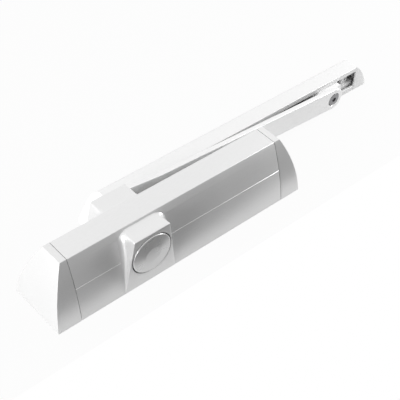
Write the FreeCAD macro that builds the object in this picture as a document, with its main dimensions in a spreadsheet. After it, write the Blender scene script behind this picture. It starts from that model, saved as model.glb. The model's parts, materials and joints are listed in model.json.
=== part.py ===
import FreeCAD, Part
import math
import os
import types
import Sketcher

# Overhead door closer with a slide rail, lying on its back, in millimetres.
# Origin: centre of the body's mounting face. +X runs along the body towards the rail's far end,
# +Z away from the mounting surface, +Y from the body to the arm and rail.

V = FreeCAD.Vector
# Two lengths closer than this count as the same
SAME = 1e-3
doc = FreeCAD.newDocument("overhead_door_closer")

# Driving sizes, each written once
SIZES = {
    # Body: front strip, rounded sides, convex ends
    "body_length": 275.0,
    "body_width": 60.0,
    "body_depth": 58.0,
    "strip_width": 23.0,
    "side_bulge": 2.3,
    "end_cap_length": 22.85,
    "end_lean": 16.5,
    "end_bulge": 3.4,
    "seam_gap": 0.5,
    "cover_wall": 1.8,
    "end_cap_wall": 2.0,
    "notch_gap": 0.5,
    "line_drop": 26.3,
    "line_radius": 0.45,
    # Hoods over the two spindle ends
    "hood_drop": 2.0,
    "hood_rim": 3.3,
    "hood_top_width": 37.2,
    "hood_foot_width": 54.8,
    "hood_draft": 2.6,
    "hood_wall": 2.0,
    "hood_edge": 0.9,
    "hood_trim": 2.5,
    "hood_seat": 0.1,
    # Spindle cap: dished disc on the unused spindle end
    "cap_ring_gap": 0.5,
    "cap_stand": 2.0,
    "cap_dish": 2.6,
    "cap_swell": 0.4,
    "cap_rim": 1.1,
    "cap_wall": 1.4,
    "cap_skirt": 1.6,
    # Housing: arched block with a long bore, a cross bore and a foot at each end
    "housing_inset": 2.15,
    "housing_wall": 3.0,
    "housing_headroom": 5.4,
    "housing_gap": 0.3,
    "spindle_inset": 70.0,
    "bore_radius": 15.5,
    "cross_bore_radius": 15.0,
    "boss_wall": 3.0,
    "boss_inset": 5.5,
    "boss_gap": 0.5,
    "foot_inset": 9.5,
    "foot_thickness": 5.0,
    "cover_clip": 0.2,
    "fix_hole_radius": 2.75,
    "fix_inset": 8.0,
    "fix_spacing_y": 32.0,
    # Clearances
    "fit": 0.05,
    # Spindle, its cam and its bearings
    "journal_radius": 8.0,
    "square_side": 11.0,
    "square_length": 3.5,
    "square_recess": 0.5,
    "cam_width": 12.0,
    "cam_radius": 7.5,
    "cam_lift": 7.086,
    "swing_angle": 145.0,
    "bearing_ring": 3.5,
    "seal_length": 2.0,
    "seal_recess": 0.6,
    "carrier_gap": 0.3,
    # Rollers and pistons
    "roller_radius": 6.0,
    "pin_radius": 2.5,
    "fork_side_gap": 0.8,
    "fork_floor_gap": 1.0,
    "fork_reach": 5.0,
    "spring_piston_length": 29.0,
    "spigot_length": 6.0,
    "spigot_gap": 0.3,
    "check_valve_radius": 3.0,
    "check_valve_length": 6.0,
    # Springs
    "closing_wire_radius": 2.2,
    "closing_coil_radius": 12.0,
    "closing_turns": 6.0,
    "return_wire_radius": 0.9,
    "return_coil_radius": 11.0,
    "return_turns": 2.0,
    "return_room": 12.0,
    "spring_end_gap": 0.2,
    # End plugs, their seals and the force adjuster
    "plug_length": 12.0,
    "plug_key": 12.0,
    "plug_key_depth": 5.0,
    "ring_depth": 2.2,
    "screw_radius": 4.0,
    "screw_length": 32.0,
    "collar_radius": 7.0,
    "collar_length": 3.0,
    "screw_head_radius": 6.0,
    "screw_head_length": 4.8,
    "screw_key": 5.0,
    "screw_key_depth": 3.0,
    "screw_end_play": 0.2,
    "seat_length": 8.0,
    "seat_gap": 0.8,
    # Regulating valves in the damping end
    "valve_radius": 2.8,
    "valve_length": 16.0,
    "valve_spacing": 18.0,
    "valve_slot": 0.9,
    "valve_slot_depth": 1.2,
    # Arm and its screw
    "arm_gap": 0.5,
    "arm_thickness": 5.0,
    "arm_width": 24.4,
    "arm_hub_radius": 17.0,
    "arm_taper": 60.0,
    "arm_boss_radius": 14.0,
    "arm_edge": 0.8,
    "washer_radius": 9.0,
    "washer_thickness": 1.2,
    "arm_screw_radius": 3.0,
    "arm_screw_length": 12.0,
    "arm_screw_head_radius": 6.5,
    "arm_screw_head": 2.8,
    "arm_screw_key": 4.0,
    "arm_screw_key_depth": 1.6,
    # Pivot between the arm and the slide block
    "pivot_radius": 4.5,
    "pivot_head_radius": 7.0,
    "pivot_head": 2.2,
    "pivot_sink_radius": 8.0,
    "pivot_sink": 2.0,
    "pivot_key": 5.0,
    "pivot_key_depth": 1.5,
    "pivot_thread_radius": 3.0,
    "pivot_thread": 10.0,
    "pivot_washer_radius": 7.5,
    "pivot_washer": 0.8,
    "pivot_play": 0.1,
    # Rail
    "rail_gap": 5.7,
    "rail_width": 20.0,
    "rail_depth": 30.0,
    "rail_inset": 11.0,
    "rail_length": 323.0,
    "rail_round": 6.0,
    "rail_side_wall": 2.0,
    "lip_thickness": 2.2,
    "lip_rise": 3.3,
    "rail_floor": 2.6,
    "rail_top_wall": 2.2,
    "rail_cap_length": 19.4,
    "rail_cap_bulge": 2.9,
    "rail_cap_wall": 1.6,
    # Slide block
    "block_length": 36.0,
    "park_gap": 3.5,
    "block_gap": 0.4,
    "neck_length": 34.0,
    "neck_round": 5.0,
    # Rail end inserts with their screw lugs
    "insert_length": 22.0,
    "insert_gap": 0.1,
    "insert_base": 8.0,
    "tongue_width": 6.5,
    "tongue_thickness": 2.5,
    "tongue_inset": 5.0,
    "tongue_set": 3.5,
    "tongue_hole": 1.3,
    "lug_length": 14.0,
    "lug_thickness": 4.0,
    "lug_hole_radius": 2.6,
    "lug_hole_reach": 8.0,
    # Cutting tools run past the faces by this much
    "over": 1.0,
}

sheet = doc.addObject("Spreadsheet::Sheet", "Sizes")
for row, (name, number) in enumerate(SIZES.items(), start=1):
    sheet.set(f"A{row}", name)
    sheet.set(f"B{row}", str(number))
    sheet.setAlias(f"B{row}", name)
doc.recompute()


class Size:
    """A length together with the sheet formula that gives it."""

    def __init__(self, value, formula):
        self.value = float(value)
        self.formula = formula

    def __add__(self, other):
        other = size(other)
        return Size(self.value + other.value, f"({self.formula} + {other.formula})")

    def __sub__(self, other):
        other = size(other)
        return Size(self.value - other.value, f"({self.formula} - {other.formula})")

    def __mul__(self, other):
        other = size(other)
        return Size(self.value * other.value, f"({self.formula} * {other.formula})")

    def __truediv__(self, other):
        other = size(other)
        return Size(self.value / other.value, f"({self.formula} / {other.formula})")

    def __radd__(self, other):
        return size(other) + self

    def __rsub__(self, other):
        return size(other) - self

    def __rmul__(self, other):
        return size(other) * self

    def __neg__(self):
        return size(0) - self


def size(number):
    """A plain number or a Size, as a Size."""
    if isinstance(number, Size):
        return number
    return Size(number, f"({number})")


def root(square):
    """Square root of a Size."""
    return Size(math.sqrt(square.value), f"sqrt({square.formula})")


def quarter(radius):
    """Rise of a quarter round above its chord."""
    return radius * (1 - math.sqrt(0.5))


s = types.SimpleNamespace(**{name: Size(sheet.get(name), f"Sizes.{name}") for name in SIZES})

# Building helpers

TURNS = {
    "x": FreeCAD.Rotation(V(0, 1, 0), 90),
    "y": FreeCAD.Rotation(V(1, 0, 0), -90),
    "z": FreeCAD.Rotation(),
}


def bind(obj, formulas):
    for path, length in formulas.items():
        obj.setExpression(path, size(length).formula)
    return obj


def place(obj, at):
    """Tie the place of an object to three sizes."""
    return bind(obj, {f"Placement.Base.{letter}": length for letter, length in zip("xyz", at)})


def along(axis, start, centre):
    """Point at start on an axis; centre gives the other two coordinates in X, Y, Z order."""
    at = list(centre)
    at.insert("xyz".index(axis), start)
    return at


def block(name, x, y, z):
    """Box between the low and high value on each axis."""
    box = doc.addObject("Part::Box", name)
    bind(box, {"Length": size(x[1]) - x[0], "Width": size(y[1]) - y[0], "Height": size(z[1]) - z[0]})
    return place(box, (x[0], y[0], z[0]))


def rod(name, axis, radius, start, stop, centre):
    """Cylinder along an axis."""
    cylinder = doc.addObject("Part::Cylinder", name)
    cylinder.Placement = FreeCAD.Placement(V(), TURNS[axis])
    bind(cylinder, {"Radius": radius, "Height": size(stop) - start})
    return place(cylinder, along(axis, start, centre))


def hex_prism(name, axis, across_flats, start, stop, centre):
    """Six-sided prism along an axis, for tool sockets."""
    bar = doc.addObject("Part::Prism", name)
    bar.Polygon = 6
    bar.Placement = FreeCAD.Placement(V(), TURNS[axis])
    bind(bar, {"Circumradius": across_flats / root(size(3)), "Height": size(stop) - start})
    return place(bar, along(axis, start, centre))


def fuse(name, *pieces):
    joined = doc.addObject("Part::MultiFuse", name)
    joined.Shapes = list(pieces)
    return joined


def cut(name, base, *tools):
    tool = tools[0]
    if len(tools) > 1:
        tool = fuse(name + "_cuts", *tools)
    left = doc.addObject("Part::Cut", name)
    left.Base = base
    left.Tool = tool
    return left


def shared(name, first, second):
    """What two solids have in common."""
    overlap = doc.addObject("Part::Common", name)
    overlap.Base = first
    overlap.Tool = second
    return overlap


def rounded(name, base, radius, wanted):
    """Fillet the edges that the wanted test picks."""
    doc.recompute()
    fillet = doc.addObject("Part::Fillet", name)
    fillet.Base = base
    edges = base.Shape.Edges
    fillet.Edges = [(i, radius.value, radius.value) for i, edge in enumerate(edges, start=1) if wanted(edge)]
    return fillet


def outline(body, name, plane, offset, points, bulges):
    """Closed counter-clockwise sketch; bulges gives the rise of a round stretch after a point."""
    sketch = body.newObject("Sketcher::SketchObject", name)
    base_plane = [feature for feature in body.Origin.OriginFeatures if feature.Role == plane][0]
    sketch.AttachmentSupport = [(base_plane, "")]
    sketch.MapMode = "FlatFace"
    bind(sketch, {"AttachmentOffset.Base.z": offset})
    points = [(size(across), size(up)) for across, up in points]
    corners = [V(across.value, up.value, 0) for across, up in points]
    fixed = [(kind, i, 1, length) for i, point in enumerate(points)
             for kind, length in zip(("DistanceX", "DistanceY"), point)]
    for i, corner in enumerate(corners):
        following = corners[(i + 1) % len(corners)]
        if i not in bulges:
            sketch.addGeometry(Part.LineSegment(corner, following))
            continue
        after = points[(i + 1) % len(points)]
        run = after[0] - points[i][0]
        climb = after[1] - points[i][1]
        chord = root(run * run + climb * climb)
        rise = size(bulges[i])
        radius = (chord * chord / 4 + rise * rise) / (2 * rise)
        back = (radius - rise) / chord
        middle = ((points[i][0] + after[0]) / 2 - climb * back, (points[i][1] + after[1]) / 2 + run * back)
        centre = V(middle[0].value, middle[1].value, 0)
        angles = [math.atan2(end.y - centre.y, end.x - centre.x) for end in (corner, following)]
        sketch.addGeometry(Part.ArcOfCircle(Part.Circle(centre, V(0, 0, 1), radius.value), *angles))
        # The ends are fixed, so one coordinate of the centre settles the arc
        upright = abs(run.value) > abs(climb.value)
        fixed.append(("DistanceY", i, 3, middle[1]) if upright else ("DistanceX", i, 3, middle[0]))
    for i in range(len(corners)):
        sketch.addConstraint(Sketcher.Constraint("Coincident", i, 2, (i + 1) % len(corners), 1))
    for kind, i, point, length in fixed:
        number = sketch.addConstraint(Sketcher.Constraint(kind, -1, 1, i, point, length.value))
        bind(sketch, {f"Constraints[{number}]": length})
    return sketch


def prism(name, plane, start, stop, points, bulges=None):
    """Outline padded from start to stop along the axis that its plane leaves out."""
    body = doc.addObject("PartDesign::Body", name)
    # The XZ plane faces -Y, so its sketch sits at the far end and is padded back
    offset = -size(stop) if plane == "XZ_Plane" else size(start)
    pad = body.newObject("PartDesign::Pad", name + "_pad")
    pad.Profile = outline(body, name + "_outline", plane, offset, points, bulges or {})
    bind(pad, {"Length": size(stop) - start})
    body.Tip = pad
    return body


def turned(name, points, bulges, at):
    """Outline of radius and height, revolved about an axis parallel to Y through at (x, z)."""
    body = doc.addObject("PartDesign::Body", name)
    sketch = outline(body, name + "_outline", "XY_Plane", size(0), points, bulges)
    revolve = body.newObject("PartDesign::Revolution", name + "_turn")
    revolve.Profile = sketch
    revolve.ReferenceAxis = (sketch, ["V_Axis"])
    revolve.Angle = 360
    body.Tip = revolve
    return place(body, (at[0], 0, at[1]))


def coil(name, wire_radius, coil_radius, turns, start, stop, centre):
    """Helical spring along X between two faces, its wire six-sided to keep it light."""
    room = stop - start - 2 * (wire_radius + s.spring_end_gap)
    helix = doc.addObject("Part::Helix", name + "_path")
    bind(helix, {"Radius": coil_radius, "Height": room, "Pitch": room / turns})
    wire = doc.addObject("Part::RegularPolygon", name + "_wire")
    wire.Polygon = 6
    wire.Placement = FreeCAD.Placement(V(), FreeCAD.Rotation(V(1, 0, 0), 90))
    bind(wire, {"Circumradius": wire_radius, "Placement.Base.x": coil_radius})
    sweep = doc.addObject("Part::Sweep", name)
    sweep.Sections = [wire]
    sweep.Spine = (helix, [])
    sweep.Solid = True
    sweep.Frenet = True
    sweep.Placement = FreeCAD.Placement(V(), TURNS["x"])
    return place(sweep, (start + wire_radius + s.spring_end_gap, centre[0], centre[1]))


# Body section: half widths of the rounded sides

rise_y = (s.body_width - s.strip_width) / 2
slant = root(rise_y * rise_y + s.body_depth * s.body_depth) / s.body_depth


def section(inset, grow=0):
    """Cross-section of the body, moved in by a wall or grown by a clearance."""
    side = inset * slant
    foot = s.body_width / 2 - side + grow
    top = s.strip_width / 2 - side + inset * rise_y / s.body_depth + grow
    height = s.body_depth - inset + grow
    points = [(-foot, 0), (foot, 0), (top, height), (-top, height)]
    return points, {1: s.side_bulge, 3: s.side_bulge}


def side_at(height):
    """Half width of the body's outer side at a height."""
    chord = root(rise_y * rise_y + s.body_depth * s.body_depth)
    radius = (chord * chord / 4 + s.side_bulge * s.side_bulge) / (2 * s.side_bulge)
    inward = (radius - s.side_bulge) / chord
    centre_y = (s.body_width + s.strip_width) / 4 - s.body_depth * inward
    centre_z = s.body_depth / 2 - rise_y * inward
    climb = height - centre_z
    return centre_y + root(radius * radius - climb * climb)


face_y = s.body_width / 2
seam_x = s.body_length / 2 - s.end_cap_length
cover_half = seam_x - s.seam_gap
housing_half = cover_half - s.housing_inset
arch_radius = s.bore_radius + s.housing_wall
boss_radius = s.cross_bore_radius + s.boss_wall
boss_reach = face_y - s.boss_inset
hood_top = s.body_depth - s.hood_drop

# Spindle axis, parallel to Y, and the long bore that crosses it
spindle_x = s.spindle_inset - housing_half
spindle_z = s.body_depth - s.cover_wall - s.housing_headroom - arch_radius
spindle = (spindle_x, spindle_z)
bore = (0, spindle_z)
cap_hole_radius = hood_top - s.hood_rim - spindle_z
cap_radius = cap_hole_radius - s.cap_ring_gap


# Cover and end caps

def make_cover():
    outer = prism("cover_outer", "YZ_Plane", -cover_half, cover_half, *section(size(0)))
    ends = (-cover_half - s.over, cover_half + s.over)
    inner = prism("cover_inner", "YZ_Plane", *ends, *section(s.cover_wall))
    notch_half = boss_radius + s.notch_gap
    notch_x = (spindle_x - notch_half, spindle_x + notch_half)
    notch = block("cover_notch", notch_x, (-face_y - s.over, face_y + s.over),
                  (-s.over, spindle_z + notch_half))
    line_z = s.body_depth - s.line_drop
    lines = [rod(f"cover_line_{side}", "x", s.line_radius, *ends, (at, line_z))
             for side, at in (("near", -side_at(line_z)), ("far", side_at(line_z)))]
    return cut("cover", outer, inner, notch, *lines)


def end_profile(inset):
    """Convex end of the body seen from the side, from the seam outwards."""
    foot = s.body_length / 2 - inset
    top = foot - s.end_lean
    points = [(seam_x, 0), (foot, 0), (top, s.body_depth), (seam_x, s.body_depth)]
    return points, {1: s.end_bulge}


def make_end_cap(name, turn):
    """Hollow convex end, turned half round about Z for the left side."""
    reach = s.body_length / 2 + s.over
    sides = (-s.body_width, s.body_width)
    outer = shared(name + "_outer", prism(name + "_section", "YZ_Plane", seam_x, reach, *section(size(0))),
                   prism(name + "_end", "XZ_Plane", *sides, *end_profile(size(0))))
    hollow = prism(name + "_hollow", "YZ_Plane", seam_x - s.over, reach, *section(s.end_cap_wall))
    inner = shared(name + "_inner", hollow, prism(name + "_inner_end", "XZ_Plane", *sides,
                                                  *end_profile(s.end_cap_wall)))
    cap = cut(name, outer, inner)
    cap.Placement = FreeCAD.Placement(V(), FreeCAD.Rotation(V(0, 0, 1), turn))
    return cap


# Hoods: moulded covers over the spindle bosses

def hood_loft(name, inset):
    """Trapezoid at the front face that widens towards the body."""
    body = doc.addObject("PartDesign::Body", name)
    loft = body.newObject("PartDesign::AdditiveLoft", name + "_loft")
    root_y = s.strip_width / 2 - s.over
    stations = []
    for station, depth, widen in (("root", root_y, s.hood_draft), ("front", face_y - inset, 0)):
        top = s.hood_top_width / 2 - inset + widen
        foot = s.hood_foot_width / 2 - inset + widen
        lowest = 0 if inset.value == 0 else -s.over
        points = [(spindle_x - foot, lowest), (spindle_x + foot, lowest),
                  (spindle_x + top, hood_top - inset), (spindle_x - top, hood_top - inset)]
        stations.append(outline(body, f"{name}_{station}", "XZ_Plane", depth, points, {}))
    loft.Profile = stations[0]
    loft.Sections = [stations[1]]
    loft.Ruled = True
    body.Tip = loft
    return body


def make_hood(name, mirrored):
    """Near hood, or its mirror image on the arm side."""
    shell = hood_loft(name + "_shell", size(0))
    reach = s.body_length / 2
    seat = prism(name + "_seat", "YZ_Plane", -reach, reach, *section(size(0), s.hood_seat))
    front = -face_y.value

    def outer_edge(edge):
        middle = edge.CenterOfMass
        on_front = abs(middle.y - front) < SAME and middle.z > SAME
        flank_top = abs(middle.z - hood_top.value) < SAME and edge.Length < s.body_width.value / 2
        return on_front or flank_top

    soft = rounded(name + "_soft", shell, s.hood_edge, outer_edge)
    hollow = hood_loft(name + "_hollow", s.hood_wall)
    hole = rod(name + "_hole", "y", cap_hole_radius, -face_y - s.over, -s.strip_width / 2, spindle)
    # The flanks thin out to nothing at the back, so the foot is trimmed where it still has a wall
    thin = block(name + "_thin", (-reach, reach), (-face_y - s.over, 0), (-s.over, s.hood_trim))
    hood = cut(name + "_near" if mirrored else name, soft, seat, hollow, hole, thin)
    if not mirrored:
        return hood
    far = doc.addObject("Part::Mirroring", name)
    far.Source = hood
    far.Normal = V(0, 1, 0)
    return far


# Housing

# The valves lie midway between the back and the long bore
half_spacing = s.valve_spacing / 2
valve_z = (spindle_z - root(s.bore_radius * s.bore_radius - half_spacing * half_spacing)) / 2


def make_housing():
    half = housing_half
    arch = arch_radius
    foot_half = s.body_length / 2 - s.foot_inset
    foot_side = side_at(s.foot_thickness) - s.end_cap_wall * slant - s.cover_clip
    full = prism("housing_full", "YZ_Plane", -half, half,
                 [(-arch, 0), (arch, 0), (arch, spindle_z), (-arch, spindle_z)], {2: arch})
    # The cover's inside bounds the block when the body is made narrower
    room = prism("housing_room", "YZ_Plane", -half, half, *section(s.cover_wall + s.housing_gap))
    core = shared("housing_core", full, room)
    foot = block("housing_foot", (-foot_half, foot_half), (-foot_side, foot_side), (0, s.foot_thickness))
    boss = rod("housing_boss", "y", boss_radius, -boss_reach, boss_reach, spindle)
    bores = [rod("housing_bore", "x", s.bore_radius, -half - s.over, half + s.over, bore),
             rod("housing_cross_bore", "y", s.cross_bore_radius,
                 -boss_reach - s.over, boss_reach + s.over, spindle)]
    for label, side in (("closing", -1), ("latching", 1)):
        bores.append(rod(f"{label}_valve_bore", "x", s.valve_radius + s.fit, -half - s.over,
                         -half + s.valve_length, (side * half_spacing, valve_z)))
    for end in (-1, 1):
        for side in (-1, 1):
            at = (end * (foot_half - s.fix_inset), side * s.fix_spacing_y / 2)
            bores.append(rod(f"fixing_hole_{end + 1}{side + 1}", "z", s.fix_hole_radius, -s.over,
                             s.foot_thickness + s.over, at))
    return cut("housing", fuse("housing_block", core, foot, boss), *bores)


# Spindle bearings, one set on each side

bearing_outer = s.journal_radius + s.fit + s.bearing_ring
carrier_inner = s.bore_radius + s.carrier_gap


def ring(name, outer, inner, low, high):
    """Ring about the spindle axis between two Y values."""
    return cut(name, rod(name + "_body", "y", outer, low, high, spindle),
               rod(name + "_bore", "y", inner, low - s.over, high + s.over, spindle))


def span(side, inner, outer):
    """Y range on the near (-1) or far (1) side."""
    return (inner, outer) if side > 0 else (-outer, -inner)


def make_bearing_set(label, side):
    seal_start = boss_reach - s.seal_recess - s.seal_length
    bearing_span = span(side, carrier_inner + s.fit, seal_start - s.fit)
    ring(f"bearing_cover_{label}", s.cross_bore_radius - s.fit, bearing_outer + s.fit,
         *span(side, carrier_inner, boss_reach))
    ring(f"spindle_bearing_{label}", bearing_outer, s.journal_radius + s.fit, *bearing_span)
    ring(f"shaft_seal_{label}", bearing_outer, s.journal_radius + s.fit,
         *span(side, seal_start, seal_start + s.seal_length))


# Spindle with its spiral cam

def make_cam():
    """Cam bounded by the two rollers' path: spiral flanks between a heel and a crest."""
    reach = sheet.get("roller_radius") + sheet.get("fit")
    heel_radius = sheet.get("cam_radius")
    lift = sheet.get("cam_lift")
    swing = math.radians(sheet.get("swing_angle"))
    dwell = math.pi - swing
    width = sheet.get("cam_width")

    def at(angle, radius):
        return V(radius * math.cos(angle), -width / 2, radius * math.sin(angle))

    def touch(share, lean_share=1.0):
        """Where a roller touches the flank after a share of the lift."""
        centre = heel_radius + reach + lift * share
        lean = math.atan2(lift / swing, centre) * lean_share
        angle = dwell + swing * share
        turned_in = at(angle - lean, reach)
        return at(angle, centre) - V(turned_in.x, 0, turned_in.z)

    def mirror(point):
        """The same point on the other flank, across the line from heel to crest."""
        angle = dwell - math.atan2(point.z, point.x)
        return at(angle, math.hypot(point.x, point.z))

    # The flank ends where it meets the crest
    crest_radius = heel_radius + lift
    low, high = 0.5, 1.0
    while high - low > SAME:
        middle = (low + high) / 2
        point = touch(middle)
        if math.hypot(point.x, point.z) < crest_radius:
            low = middle
        else:
            high = middle

    steps = 8
    rising = [touch(low * i / steps) for i in range(steps + 1)]
    nest = [touch(0, 0.0), touch(0, 0.5), rising[0]]
    edges = []
    for across in (lambda point: point, mirror):
        flank = Part.BSplineCurve()
        flank.interpolate([across(point) for point in rising])
        edges += [flank.toShape(), Part.Arc(*[across(point) for point in nest]).toShape()]
    crest_middle = at(math.pi + dwell / 2, crest_radius)
    edges.append(Part.Arc(rising[-1], crest_middle, mirror(rising[-1])).toShape())
    edges.append(Part.Arc(mirror(nest[0]), at(dwell / 2, heel_radius), nest[0]).toShape())
    wire = Part.Wire(Part.__sortEdges__(edges))
    cam = doc.addObject("Part::Feature", "spindle_cam")
    cam.Shape = Part.Face(wire).extrude(V(0, width, 0))
    return place(cam, (spindle_x, 0, spindle_z))


def square_bar(name, side, low, high):
    half = side / 2
    across = (spindle_x - half, spindle_x + half)
    return block(name, across, (low, high), (spindle_z - half, spindle_z + half))


arm_near = face_y + s.arm_gap
arm_far = arm_near + s.arm_thickness
spindle_tip = arm_far - s.square_recess


def make_spindle():
    cam_half = s.cam_width / 2
    near = rod("spindle_journal_near", "y", s.journal_radius, -boss_reach, -cam_half, spindle)
    far = rod("spindle_journal_far", "y", s.journal_radius, cam_half, boss_reach, spindle)
    cap_end = square_bar("spindle_cap_square", s.square_side, -boss_reach - s.square_length, -boss_reach)
    arm_end = square_bar("spindle_arm_square", s.square_side, boss_reach, spindle_tip)
    tapped = rod("spindle_tapped_hole", "y", s.arm_screw_radius + s.fit, spindle_tip - s.arm_screw_length,
                 spindle_tip + s.over, spindle)
    return cut("spindle", fuse("spindle_bar", make_cam(), near, far, cap_end, arm_end), tapped)


def make_spindle_cap():
    rim_y = -face_y - s.cap_stand
    middle_y = rim_y + s.cap_dish
    hub = s.square_side
    rim = cap_radius - s.cap_rim
    inner = cap_radius - s.cap_skirt
    back = -boss_reach - s.boss_gap
    skirt_back = -face_y + s.hood_wall + s.boss_gap
    edge = rim - s.cap_rim
    half_way = (middle_y + rim_y) / 2 - s.cap_swell
    points = [(0, back), (0, middle_y), (edge / 2, half_way), (edge, rim_y), (rim, rim_y),
              (cap_radius, rim_y + s.cap_rim), (cap_radius, skirt_back), (inner, skirt_back),
              (inner, rim_y + s.cap_wall + s.cap_rim), (hub, middle_y + s.cap_wall / 2), (hub, back)]
    disc = turned("spindle_cap_disc", points, {}, spindle)
    floor = -boss_reach - s.square_length - s.fit
    socket = square_bar("spindle_cap_socket", s.square_side + 2 * s.fit, floor, -boss_reach + s.over)
    return cut("spindle_cap", disc, socket)


# Rail places, and the pivot parked beside the rail's right insert

rail_left = spindle_x + s.rail_inset
rail_right = rail_left + s.rail_length
rail_face = arm_far + s.rail_gap
rail_far = rail_face + s.rail_width
channel_near = rail_face + s.lip_thickness
channel_far = rail_far - s.rail_side_wall
channel_low = s.rail_floor
channel_high = s.rail_depth - s.rail_top_wall
channel_round = s.rail_round - s.rail_side_wall
slot_z = (channel_low + channel_high) / 2
slot_half = (channel_high - channel_low) / 2 - s.lip_rise
pivot_x = rail_right - s.insert_length - s.park_gap - s.block_length / 2
pivot = (pivot_x, slot_z)

# Arm, its screw and washer

run_x = pivot_x - spindle_x
run_z = slot_z - spindle_z
arm_length = root(run_x * run_x + run_z * run_z)


def on_arm(distance, sideways):
    """Point in the arm's plane, by distance from the spindle and offset to the upper side."""
    ux = run_x / arm_length
    uz = run_z / arm_length
    return (spindle_x + ux * distance - uz * sideways, spindle_z + uz * distance + ux * sideways)


def make_arm():
    half = s.arm_width / 2
    hub = s.arm_hub_radius
    points = [on_arm(size(0), -hub), on_arm(s.arm_taper, -half), on_arm(arm_length, -half),
              on_arm(arm_length, half), on_arm(s.arm_taper, half), on_arm(size(0), hub)]
    bar = prism("arm_bar", "XZ_Plane", arm_near, arm_far, points, {2: half, 5: hub})
    faces = (arm_near.value, arm_far.value)

    def rim(edge):
        return any(abs(edge.BoundBox.YMin - y) < SAME and abs(edge.BoundBox.YMax - y) < SAME for y in faces)

    soft = rounded("arm_soft_bar", bar, s.arm_edge, rim)
    boss = rod("arm_boss", "y", s.arm_boss_radius, boss_reach + s.boss_gap, arm_near + s.arm_edge, spindle)
    square = square_bar("arm_square_hole", s.square_side + 2 * s.fit, boss_reach, arm_far + s.over)
    hole = rod("arm_pivot_hole", "y", s.pivot_radius + s.fit, arm_near - s.over, arm_far + s.over, pivot)
    sink = rod("arm_pivot_sink", "y", s.pivot_sink_radius, arm_near - s.over, arm_near + s.pivot_sink, pivot)
    return cut("arm", fuse("arm_blank", soft, boss), square, hole, sink)


def make_arm_screw():
    washer_far = arm_far + s.washer_thickness
    top = washer_far + s.arm_screw_head
    ring("arm_washer", s.washer_radius, s.arm_screw_radius + s.fit, arm_far, washer_far)
    stem_end = spindle_tip - s.arm_screw_length + s.over
    stem = rod("arm_screw_stem", "y", s.arm_screw_radius, stem_end, washer_far, spindle)
    head = rod("arm_screw_head", "y", s.arm_screw_head_radius, washer_far, top, spindle)
    key = hex_prism("arm_screw_key", "y", s.arm_screw_key, top - s.arm_screw_key_depth, top + s.over, spindle)
    return cut("arm_screw", fuse("arm_screw_blank", stem, head), key)


# Pistons, rollers and springs in the long bore

pitch_low = s.cam_radius + s.fit + s.roller_radius
spring_roller_x = spindle_x + pitch_low
damping_roller_x = spindle_x - pitch_low - s.cam_lift
piston_radius = s.bore_radius - s.fit
fork_floor = s.roller_radius + s.fork_floor_gap
fork_half = s.cam_width / 2 + s.fork_side_gap
spring_face = spring_roller_x + fork_floor + s.spring_piston_length
plug_inner = housing_half - s.plug_length
damping_face = s.return_room - plug_inner
damping_piston_length = damping_roller_x - fork_floor - damping_face


def ordered(first, second):
    """Two lengths, the lower one first."""
    return sorted((first, second), key=lambda end: end.value)


def make_piston(name, roller_x, side, length, extra):
    """Forked piston; side is 1 where the fork points to -X."""
    low, high = ordered(roller_x - side * s.fork_reach, roller_x + side * (fork_floor + length))
    body = rod(name + "_body", "x", piston_radius, low, high, bore)
    mouth = ordered(roller_x - side * (s.fork_reach + s.over), roller_x + side * fork_floor)
    fork = block(name + "_fork", mouth, (-fork_half, fork_half),
                 (spindle_z - s.bore_radius, spindle_z + s.bore_radius))
    pin_hole = rod(name + "_pin_hole", "y", s.pin_radius + s.fit, -s.bore_radius, s.bore_radius,
                   (roller_x, spindle_z))
    return cut(name, extra(body), fork, pin_hole)


def make_roller(label, roller_x):
    centre = (roller_x, spindle_z)
    half = s.cam_width / 2 - s.fit
    cut(f"{label}_roller", rod(f"{label}_roller_body", "y", s.roller_radius, -half, half, centre),
        rod(f"{label}_roller_bore", "y", s.pin_radius + s.fit, -half - s.over, half + s.over, centre))
    pin_half = root(piston_radius * piston_radius - s.pin_radius * s.pin_radius) - s.fork_side_gap
    rod(f"{label}_roller_pin", "y", s.pin_radius, -pin_half, pin_half, centre)


def make_pistons():
    valve_end = damping_face + s.check_valve_length
    spigot_radius = s.closing_coil_radius - s.closing_wire_radius - s.spigot_gap

    def with_spigot(body):
        tip = spring_face + s.spigot_length
        spigot = rod("spring_piston_spigot", "x", spigot_radius, spring_face, tip, bore)
        return fuse("spring_piston_blank", body, spigot)

    def with_valve_hole(body):
        hole = rod("damping_valve_hole", "x", s.check_valve_radius + s.fit,
                   damping_face - s.over, valve_end, bore)
        return cut("damping_piston_blank", body, hole)

    make_piston("spring_piston", spring_roller_x, 1, s.spring_piston_length, with_spigot)
    make_piston("damping_piston", damping_roller_x, -1, damping_piston_length, with_valve_hole)
    rod("piston_check_valve", "x", s.check_valve_radius, damping_face, valve_end, bore)
    make_roller("spring", spring_roller_x)
    make_roller("damping", damping_roller_x)


# End plugs, seals, adjuster, spring seat and valves

collar_left = plug_inner - s.screw_end_play - s.collar_length
seat_right = collar_left - s.seat_gap
seat_left = seat_right - s.seat_length


def make_plug(name, side, tool):
    """Round plug with a square-cut seal in its groove; side is 1 at the spring end."""
    disc = rod(name + "_body", "x", piston_radius, *ordered(side * plug_inner, side * housing_half), bore)
    middle = side * (plug_inner + s.plug_length / 3)
    half = s.ring_depth / 2
    floor = piston_radius - s.ring_depth

    def band(label, radius, reach):
        return rod(f"{name}_{label}", "x", radius, middle - reach, middle + reach, bore)

    groove = cut(name + "_groove", band("groove_out", s.bore_radius + s.over, half + s.fit),
                 band("groove_in", floor - s.fit, half + s.over))
    cut(name, disc, groove, tool)
    return cut(name + "_seal", band("seal_out", piston_radius, half), band("seal_in", floor, half + s.over))


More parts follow.
